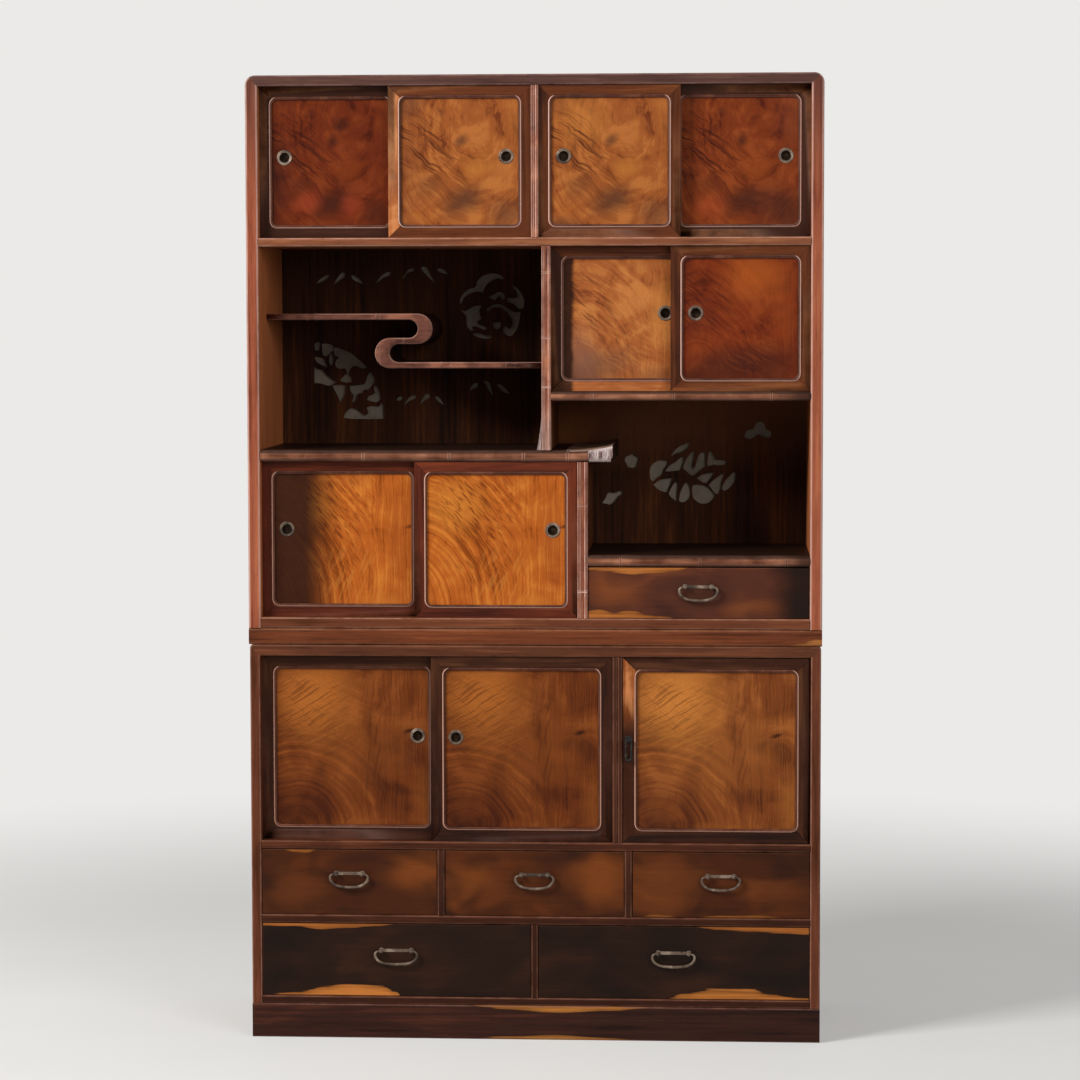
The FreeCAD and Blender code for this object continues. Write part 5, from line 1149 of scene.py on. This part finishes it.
# openwork: cedar boards fretted with pine needles, a plum roundel, a fan of leaves, a leaf roundel, blossom,
# cloud and bird. Outlines run across and down from each drawing's corner, in its own unit; every drawing is
# (corner x, corner z, unit), all in mm
drawings = {
    "needlesHigh": ((-459.3, 1456.6, 0.3234), [
        [(55, 152), (90, 118), (130, 98), (142, 108), (115, 132), (80, 148)],
        [(163, 158), (185, 118), (215, 86), (236, 90), (232, 112), (200, 135), (172, 155)],
        [(266, 105), (290, 105), (325, 130), (345, 158), (310, 145), (278, 128)],
        [(412, 155), (440, 118), (475, 88), (508, 86), (500, 105), (460, 122), (430, 145)],
        [(572, 128), (590, 95), (615, 68), (645, 62), (642, 80), (610, 90), (590, 118)],
        [(688, 60), (705, 52), (725, 62), (745, 100), (778, 155), (745, 130), (715, 98), (692, 75)],
        [(782, 68), (805, 64), (832, 78), (850, 100), (815, 92), (790, 82)]]),
    "needlesLow": ((-301.0, 1232.3, 0.3234), [
        [(45, 158), (58, 140), (80, 132), (88, 145), (70, 158)],
        [(92, 185), (115, 150), (145, 128), (168, 128), (162, 145), (130, 160), (105, 180)],
        [(188, 182), (200, 150), (225, 120), (250, 120), (248, 138), (220, 158), (198, 178)],
        [(278, 135), (298, 135), (320, 160), (335, 188), (305, 170), (285, 152)],
        [(487, 100), (490, 80), (515, 55), (538, 55), (535, 75), (510, 92)],
        [(562, 45), (590, 40), (610, 60), (622, 100), (635, 148), (610, 115), (590, 85), (578, 62)],
        [(645, 62), (670, 62), (705, 90), (732, 122), (695, 112), (665, 90)]]),
    "plumRoundel": ((-175.9, 1436.7, 0.2153), [
        [(68, 318), (73, 270), (103, 225), (148, 190), (203, 172), (223, 120), (268, 75), (328, 55),
         (388, 55), (438, 75), (468, 98), (438, 105), (398, 98), (348, 120), (298, 160), (273, 222),
         (243, 212), (198, 215), (148, 235), (108, 265), (83, 312)],
        [(323, 252), (368, 240), (408, 215), (448, 225), (472, 255), (463, 287), (438, 280), (423, 252),
         (403, 262), (388, 292), (358, 282), (333, 270)],
        [(535, 152), (578, 183), (623, 240), (643, 300), (637, 352), (610, 370), (573, 352), (545, 320),
         (505, 312), (482, 291), (504, 268), (545, 272), (578, 262), (572, 220), (545, 190)],
        [(70, 374), (118, 388), (168, 356), (238, 334), (262, 348), (240, 380), (250, 430), (258, 455),
         (222, 478), (232, 505), (278, 516), (305, 538), (294, 553), (248, 540), (205, 518), (172, 532),
         (200, 553), (163, 560), (133, 520), (126, 470), (123, 430), (93, 398)],
        [(358, 492), (428, 485), (433, 520), (398, 552), (368, 532)],
        [(301, 378), (338, 345), (388, 325), (438, 330), (498, 365), (548, 395), (608, 395), (603, 440),
         (593, 500), (568, 560), (528, 607), (486, 600), (451, 570), (453, 528), (478, 515), (503, 545),
         (526, 520), (536, 480), (520, 440), (488, 402), (438, 364), (388, 356), (348, 368), (323, 393)],
        [(183, 585), (223, 580), (288, 600), (365, 605), (333, 628), (278, 632), (223, 618), (188, 598)]]),
    "fan": ((-460.3, 1307.9, 0.2153), [
        [(72, 82), (103, 65), (126, 76), (116, 134), (76, 136)],
        [(140, 84), (182, 80), (236, 95), (246, 132), (216, 160), (182, 190), (152, 180), (140, 130)],
        [(74, 200), (110, 200), (150, 215), (170, 248), (186, 292), (140, 270), (100, 250), (80, 230)],
        [(204, 188), (232, 170), (243, 222), (230, 276), (208, 260), (204, 218)],
        [(264, 118), (330, 140), (400, 170), (460, 220), (512, 265), (540, 296), (498, 300), (432, 280),
         (400, 300), (382, 350), (402, 380), (405, 414), (350, 420), (302, 405), (330, 370), (364, 340),
         (350, 302), (290, 300), (264, 275), (270, 232), (296, 206), (262, 190), (252, 150)],
        [(72, 280), (100, 306), (145, 320), (185, 365), (235, 404), (270, 424), (236, 438), (216, 450),
         (180, 450), (130, 434), (74, 430)],
        [(235, 457), (300, 452), (355, 456), (350, 510), (330, 570), (302, 605), (285, 560), (260, 512)],
        [(390, 460), (450, 455), (520, 443), (546, 370), (574, 338), (608, 400), (600, 440), (548, 500),
         (522, 488), (505, 520), (470, 526), (442, 590), (412, 600), (426, 540), (398, 500)],
        [(610, 460), (642, 476), (661, 530), (666, 580), (640, 600), (600, 598), (570, 590), (546, 580),
         (560, 550), (592, 540), (620, 520), (606, 490)],
        [(338, 742), (360, 700), (400, 665), (450, 665), (490, 690), (532, 720), (556, 700), (536, 655),
         (590, 640), (648, 645), (672, 602), (686, 640), (691, 700), (691, 751), (600, 753), (500, 753),
         (400, 751)]]),
    "leafRoundel": ((109.9, 1147.2, 0.193), [
        [(703, 386), (740, 330), (790, 285), (850, 260), (897, 248), (880, 290), (845, 325), (800, 345),
         (760, 352), (725, 376)],
        [(648, 532), (690, 480), (750, 440), (800, 400), (837, 384), (835, 430), (820, 480), (800, 520),
         (740, 530), (690, 536)],
        [(828, 502), (850, 430), (890, 370), (932, 328), (945, 350), (938, 400), (922, 460), (932, 508),
         (950, 480), (972, 400), (1004, 350), (1046, 343), (1050, 400), (1052, 480), (1000, 520), (940, 572),
         (905, 572), (870, 540)],
        [(1070, 482), (1075, 400), (1090, 328), (1112, 340), (1140, 395), (1155, 420), (1210, 420),
         (1270, 440), (1240, 465), (1190, 475), (1140, 466), (1110, 476)],
        [(494, 560), (500, 500), (530, 455), (590, 425), (646, 424), (682, 430), (668, 470), (638, 518),
         (620, 560), (570, 600), (528, 642), (500, 610)],
        [(532, 668), (590, 625), (660, 605), (727, 604), (705, 660), (682, 718), (668, 742), (620, 735),
         (565, 705)],
        [(684, 752), (710, 700), (750, 640), (775, 640), (774, 700), (770, 770), (769, 840), (730, 812),
         (700, 785)],
        [(788, 832), (795, 770), (820, 700), (855, 643), (880, 650), (900, 700), (906, 770), (880, 815),
         (830, 845)],
        [(920, 678), (960, 665), (1030, 670), (1090, 700), (1146, 772), (1124, 812), (1080, 850), (1010, 857),
         (960, 832), (925, 790)],
        [(966, 602), (1020, 565), (1090, 550), (1143, 543), (1112, 590), (1078, 635), (1060, 652),
         (1020, 640)],
        [(1083, 672), (1110, 640), (1160, 600), (1232, 548), (1235, 580), (1212, 640), (1205, 690),
         (1180, 760), (1150, 757), (1115, 712)],
        [(1213, 702), (1240, 640), (1290, 580), (1342, 533), (1352, 570), (1340, 640), (1300, 690),
         (1250, 727), (1225, 722)],
        [(318, 354), (350, 376), (386, 400), (384, 430), (370, 470), (358, 492), (318, 500), (275, 490),
         (262, 460), (244, 425), (255, 390), (290, 376)],
        [(18, 852), (50, 805), (70, 760), (95, 742), (150, 748), (185, 735), (212, 722), (236, 750),
         (200, 775), (180, 790), (150, 830), (100, 868), (60, 862)]]),
    "cloud": ((379.8, 1147.3, 0.193), [
        [(40, 190), (55, 140), (95, 115), (130, 112), (150, 60), (190, 35), (235, 55), (255, 110), (300, 135),
         (308, 185), (270, 205), (225, 190), (175, 165), (130, 200), (80, 212)]]),
}
# cutters reach past the board; some openings are a little fuller than their outlines
fretShape = {"past": 2, "notchPast": 5, "ease": 0.36, "fuller": {"fan": 1.06, "plumRoundel": 1.02}}


def easedHandles(before, here, after):
    # gentle turns are rounded, sharp ones stay sharp
    into, out = here - before, after - here
    ease = fretShape["ease"] * max(0.0, into.normalized().dot(out.normalized()))
    along = (after - before).normalized()
    return here - along * into.length * ease, here + along * out.length * ease


def fretCutter(corner, outline, y0, y1, grow):
    left, top, unit = corner
    curve = bpy.data.curves.new("fret", "CURVE")
    curve.dimensions = "2D"
    curve.fill_mode = "BOTH"
    curve.extrude = (y1 - y0) / 2
    curve.resolution_u = 4
    spline = curve.splines.new("BEZIER")
    spline.bezier_points.add(len(outline) - 1)
    spline.use_cyclic_u = True
    places = [Vector(((left + across * unit) * mm, (top - down * unit) * mm, 0)) for across, down in outline]
    middle = sum(places, Vector()) / len(places)
    places = [middle + (place - middle) * grow for place in places]
    for k, point in enumerate(spline.bezier_points):
        point.handle_left_type = point.handle_right_type = "FREE"
        point.co = places[k]
        point.handle_left, point.handle_right = easedHandles(places[k - 1], places[k],
                                                             places[(k + 1) % len(places)])
    cutter = bpy.data.objects.new("fret", curve)
    bpy.context.collection.objects.link(cutter)
    choose(cutter)
    bpy.ops.object.convert(target="MESH")
    cutter = bpy.context.active_object
    cutter.rotation_euler = (math.pi / 2, 0, 0)
    cutter.location = (0, (y0 + y1) / 2, 0)
    applied()
    edit(cutter)
    bpy.ops.mesh.select_all(action="SELECT")
    bpy.ops.mesh.remove_doubles(threshold=0.005 * mm)
    bpy.ops.mesh.normals_make_consistent(inside=False)
    deselectAll()
    return cutter


def makeOpenwork(node, names, notch):
    low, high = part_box(node)
    board = block(low.x, high.x, low.y, high.y, low.z, high.z)
    if notch:    # the right niche reaches in over the root-end shelf only above it
        past = fretShape["notchPast"] * mm
        x, z = (part * mm for part in notch)
        cutAway(board, block(low.x - past, x, low.y - past, high.y + past, low.z - past, z))
    y0, y1 = low.y - fretShape["past"] * mm, high.y + fretShape["past"] * mm
    for name in names:
        corner, outlines = drawings[name]
        for outline in outlines:
            cutAway(board, fretCutter(corner, outline, y0, y1, fretShape["fuller"].get(name, 1.0)))
    settle(board, node + "_fretted", "cabinet", (nodeWoods[node],), (node,))


makeOpenwork("openwork_back_left", ("needlesHigh", "needlesLow", "plumRoundel", "fan"), None)
makeOpenwork("openwork_back_right", ("leafRoundel", "cloud"), (95.6, 1098))
print("openwork fretted")

# shelves whose front edge is rounded and jointed like a bamboo cane; the board behind carries painted shade
shelfEdge = {"ring": 1.0, "round": 0.40, "reach": 5.5, "tracks": (-168.5, -150.5), "trackHalf": 3.5,
             "cuts": (-3.4, -1.9, -0.7, 0.7, 1.9, 3.4),
             "rings": ((-1.9, 1.0), (1.9, 1.0), (-0.7, -0.7), (0.7, -0.7))}
jointedShelves = [
    {"name": "cupboard_shelf", "x": (31.35, 506.9), "y": (-182, 133), "z": (1188.5, 1206),
     "joints": (107.7, 257.3, 435.8), "track": (30, 508, 1203, 1207)},
    {"name": "drawer_shelf", "x": (98.95, 506.9), "y": (-182, 133), "z": (883, 905),
     "joints": (160, 306, 464)},
]
rootShape = {"x": (-506.9, 144.8), "y": (-182, 133), "z": (1076, 1098), "joints": (-315, -155.7, -18.8, 62.4),
             "track": (-508, 80.35, 1075, 1085), "swell": 74, "rise": (3.15, 5.85), "flutes": 101,
             "pitch": 2.3, "cut": 1.3, "lip": 9, "carved": 10, "lean": 3.0, "tail": (95.6, 168), "topFrom": 40}


def ringsAlong(joints, front, swell):
    # a cane's joint: two raised rings with a nick between them, cut round the front edge only
    for level in joints:
        sliceAt(0, [(level + step) * mm for step in shelfEdge["cuts"]])
        for step, part in shelfEdge["rings"]:
            pick("VERT", lambda corner: abs(corner.co.x - (level + step) * mm) < 0.05 * mm
                 and corner.co.y < front + shelfEdge["reach"] * mm)
            wide, high, centre = spanOfPicked()
            scale = (1, 1 + part * swell * mm / wide, 1 + 2 * part * swell * mm / high)
            bpy.ops.transform.resize(value=scale, center_override=centre)


def spanOfPicked():
    mesh = bmesh.from_edit_mesh(bpy.context.edit_object.data)
    ys = [corner.co.y for corner in mesh.verts if corner.select]
    zs = [corner.co.z for corner in mesh.verts if corner.select]
    return max(ys) - min(ys), max(zs) - min(zs), (0, max(ys), (max(zs) + min(zs)) / 2)


def roundedShelf(look):
    x0, x1, y0, y1, z0, z1 = (part * mm for key in "xyz" for part in look[key])
    shelf = block(x0, x1, y0, y1, z0, z1)
    edit(shelf)
    pick("EDGE", lambda edge: runs(edge, 0) and atLevel(edge, 1, y0))
    bpy.ops.mesh.bevel(offset=shelfEdge["round"] * (z1 - z0), segments=6, affect="EDGES")
    ringsAlong(look["joints"], y0, shelfEdge["ring"])
    deselectAll()
    if "track" in look:    # grooves for the tongues of the two doors
        a, b, low, high = (part * mm for part in look["track"])
        half = shelfEdge["trackHalf"] * mm
        for y in shelfEdge["tracks"]:
            cutAway(shelf, block(a, b, y * mm - half, y * mm + half, low, high))
    return shelf


shelfWood = woodMaterial("quinceJointedEdge", shelfLook, "x")
for look in jointedShelves:
    settle(roundedShelf(look), look["name"] + "_cane_edge", "cabinet", (shelfWood,),
           ("bamboo_edge_shelves",), 35)


def makeRootShelf():
    # its right end swells up into carved root, fluted by hand
    look = rootShape
    x0, x1, y0, y1, z0, z1 = (part * mm for key in "xyz" for part in look[key])
    shelf = roundedShelf(look)
    edit(shelf)
    start, lip = look["swell"] * mm, look["lip"] * mm
    count = int((x1 - start) / (look["pitch"] * mm))
    columns = [start + k * (x1 - start) / count for k in range(1, count)]
    sliceAt(0, columns)
    sliceAt(2, [z0 + (z1 - z0) * share for share in (0.2, 0.5, 0.8)])
    for column in columns + [x1]:
        share = (column - start) / (x1 - start)
        pick("VERT", lambda corner: abs(corner.co.x - column) < 0.02 * mm)
        grow = 1 + (look["rise"][0] * share + look["rise"][1] * share ** 3) * mm / (z1 - z0)
        bpy.ops.transform.resize(value=(1, 1, grow), center_override=(0, 0, z0))
    carved = [column for column in columns if column > look["flutes"] * mm]
    for k, column in enumerate(carved[:-1]):
        wobble = 0.6 + 0.4 * math.sin(2.3 * k)
        if k % 2 == 0:
            pick("VERT", lambda corner: abs(corner.co.x - column) < 0.02 * mm and corner.co.y < y0 + lip)
            bpy.ops.transform.translate(value=(0, look["cut"] * wobble * mm, 0))
    pick("VERT", lambda corner: corner.co.x > look["flutes"] * mm and corner.co.z < z0 + lip
         and corner.co.y < y0 + lip)
    bpy.ops.transform.translate(value=(-look["lean"] * mm, 0, 0))
    pick("FACE", lambda face: face.calc_center_median().x > look["flutes"] * mm
         and face.calc_center_median().y < y0 + look["carved"] * mm)
    for material in (shelfWood, rootWood, rootTopWood):
        shelf.data.materials.append(material)
    shelf.active_material_index = 1
    bpy.ops.object.material_slot_assign()
    pick("FACE", lambda face: face.calc_center_median().x > look["topFrom"] * mm and face.normal.z > 0.75)
    shelf.active_material_index = 2
    bpy.ops.object.material_slot_assign()
    deselectAll()
    # behind the openwork the board ends at the short partition
    reach, back = (part * mm for part in look["tail"])
    tail = block(x0, reach, y1 - 0.1 * mm, back, z0 + 0.02 * mm, z1 - 0.02 * mm)
    arris(tail, 0.3 * mm)
    tail.data.materials.append(shelfWood)
    whole = joined([shelf, tail])
    settle(whole, "root_end_board", "cabinet", (), ("root_end_shelf",), 30)


makeRootShelf()


ribbonShape = {"round": 5.0, "ring": 0.8, "joints": (-414, -295, -162, -59)}


def makeRibbonShelf():
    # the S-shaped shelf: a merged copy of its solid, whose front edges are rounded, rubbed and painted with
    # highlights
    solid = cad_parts["staggered_shelf"]
    ribbon = bpy.data.objects.new("ribbon", solid.data.copy())
    bpy.context.collection.objects.link(ribbon)
    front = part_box("staggered_shelf")[0].y
    edit(ribbon)
    bpy.ops.mesh.select_all(action="SELECT")
    bpy.ops.mesh.remove_doubles(threshold=0.01 * mm)
    bpy.ops.mesh.dissolve_limited(angle_limit=math.radians(0.5))
    pick("EDGE", lambda edge: atLevel(edge, 1, front) and len(edge.link_faces) == 2
         and sorted(face.normal.y < -0.9 for face in edge.link_faces) == [False, True])
    bpy.ops.mesh.bevel(offset=ribbonShape["round"] * mm, segments=5, affect="EDGES")
    ringsAlong(ribbonShape["joints"], front, ribbonShape["ring"])
    deselectAll()
    node = "staggered_shelf"
    settle(ribbon, "s_shaped_ribbon", "cabinet", (nodeWoods[node],), (node,), 35)


makeRibbonShelf()
print("jointed shelves made")

# plain studio: a pale floor, a large soft key from the left, a wide fill from the right
studio = {"floorSize": 30.0, "inner": 9.0, "backdrop": 0.86, "ambient": 0.22, "fade": (1.2, 3.2),
          "key": (-3.4, -2.8, 3.6, 1.6, 240), "fill": (3.2, -4.6, 2.6, 3.0, 124)}


def paleAround(tree):
    # seen directly or mirrored the surroundings are pale; as light they are weaker
    rays = addNode(tree, "ShaderNodeLightPath", {}).outputs
    seen = maths(tree, "MAXIMUM", rays["Is Camera Ray"], rays["Is Glossy Ray"])
    seen = maths(tree, "MAXIMUM", seen, rays["Is Transmission Ray"])
    return ranged(tree, seen, 0.0, 1.0, studio["ambient"], studio["backdrop"])


def makeFloor():
    deselectAll()
    bpy.ops.mesh.primitive_circle_add(vertices=96, radius=studio["floorSize"], fill_type="NGON",
                                      location=(0, 0, 0))
    floor = bpy.context.active_object
    floor.name = "studioFloor"
    edit(floor)
    pick("FACE", lambda face: True)
    bpy.ops.mesh.inset(thickness=studio["floorSize"] - studio["inner"])
    deselectAll()
    material, tree, shader, coords = newMaterial("paintedStudioFloor")
    place = coords.outputs["Object"]
    mottle = ramp(tree, noise(tree, place, 1.2, 3.0), [(0.3, "#e9e8e5"), (0.7, "#efeeeb")])
    fill(tree, shader, {"Base Color": mottle, "Roughness": 0.8, "Specular IOR Level": 0.2})
    # far from the cabinet the floor runs into the pale surroundings without a horizon
    glow = addNode(tree, "ShaderNodeEmission", {"Color": colour("#fbfaf8"), "Strength": paleAround(tree)})
    away = vectors(tree, "LENGTH", place).outputs["Value"]
    far = ranged(tree, away, *studio["fade"], 0.3, 1.0, "SMOOTHSTEP")
    surface = addNode(tree, "ShaderNodeMixShader", {0: far, 1: shader, 2: glow})
    fill(tree, tree.nodes["Material Output"], {"Surface": surface})
    floor.data.materials.append(material)


def makeLamp(name, look):
    x, y, z, size, power = look
    lamp = bpy.data.lights.new(name, "AREA")
    lamp.shape = "SQUARE"
    lamp.size = size
    lamp.energy = power
    holder = bpy.data.objects.new(name, lamp)
    holder.location = (x, y, z)
    away = holder.location - cabinetMiddle
    holder.rotation_euler = away.to_track_quat("Z", "Y").to_euler()
    bpy.context.collection.objects.link(holder)


def makeWorld():
    world = bpy.data.worlds.new("studioWorld")
    bpy.context.scene.world = world
    world.use_nodes = True
    tree = world.node_tree
    fill(tree, tree.nodes["Background"], {"Strength": paleAround(tree), "Color": colour("#fbfaf8")})


cabinetMiddle = (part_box("upper_top_board")[1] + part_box("plinth")[0]) / 2
makeFloor()
makeWorld()
makeLamp("keySoftbox", studio["key"])
makeLamp("fillSoftbox", studio["fill"])

# the photograph's view: a long lens from a little to the right, level with the doors above
view = {"place": (365.7, -6131.4, 1347.9), "pitch": 3.985, "yaw": 3.401, "roll": 0.095,
        "focal": 3245 / 1080 * 36}
camera = bpy.data.cameras.new("photoCamera")
camera.sensor_width = 36
camera.lens = view["focal"]
cameraObject = bpy.data.objects.new("photoCamera", camera)
cameraObject.location = [part * mm for part in view["place"]]
cameraObject.rotation_euler = (math.radians(90 - view["pitch"]), math.radians(view["roll"]),
                               math.radians(view["yaw"]))
bpy.context.collection.objects.link(cameraObject)
bpy.context.scene.camera = cameraObject
bpy.context.scene.view_settings.view_transform = "Standard"
print("studio set")

bpy.context.view_layer.update()
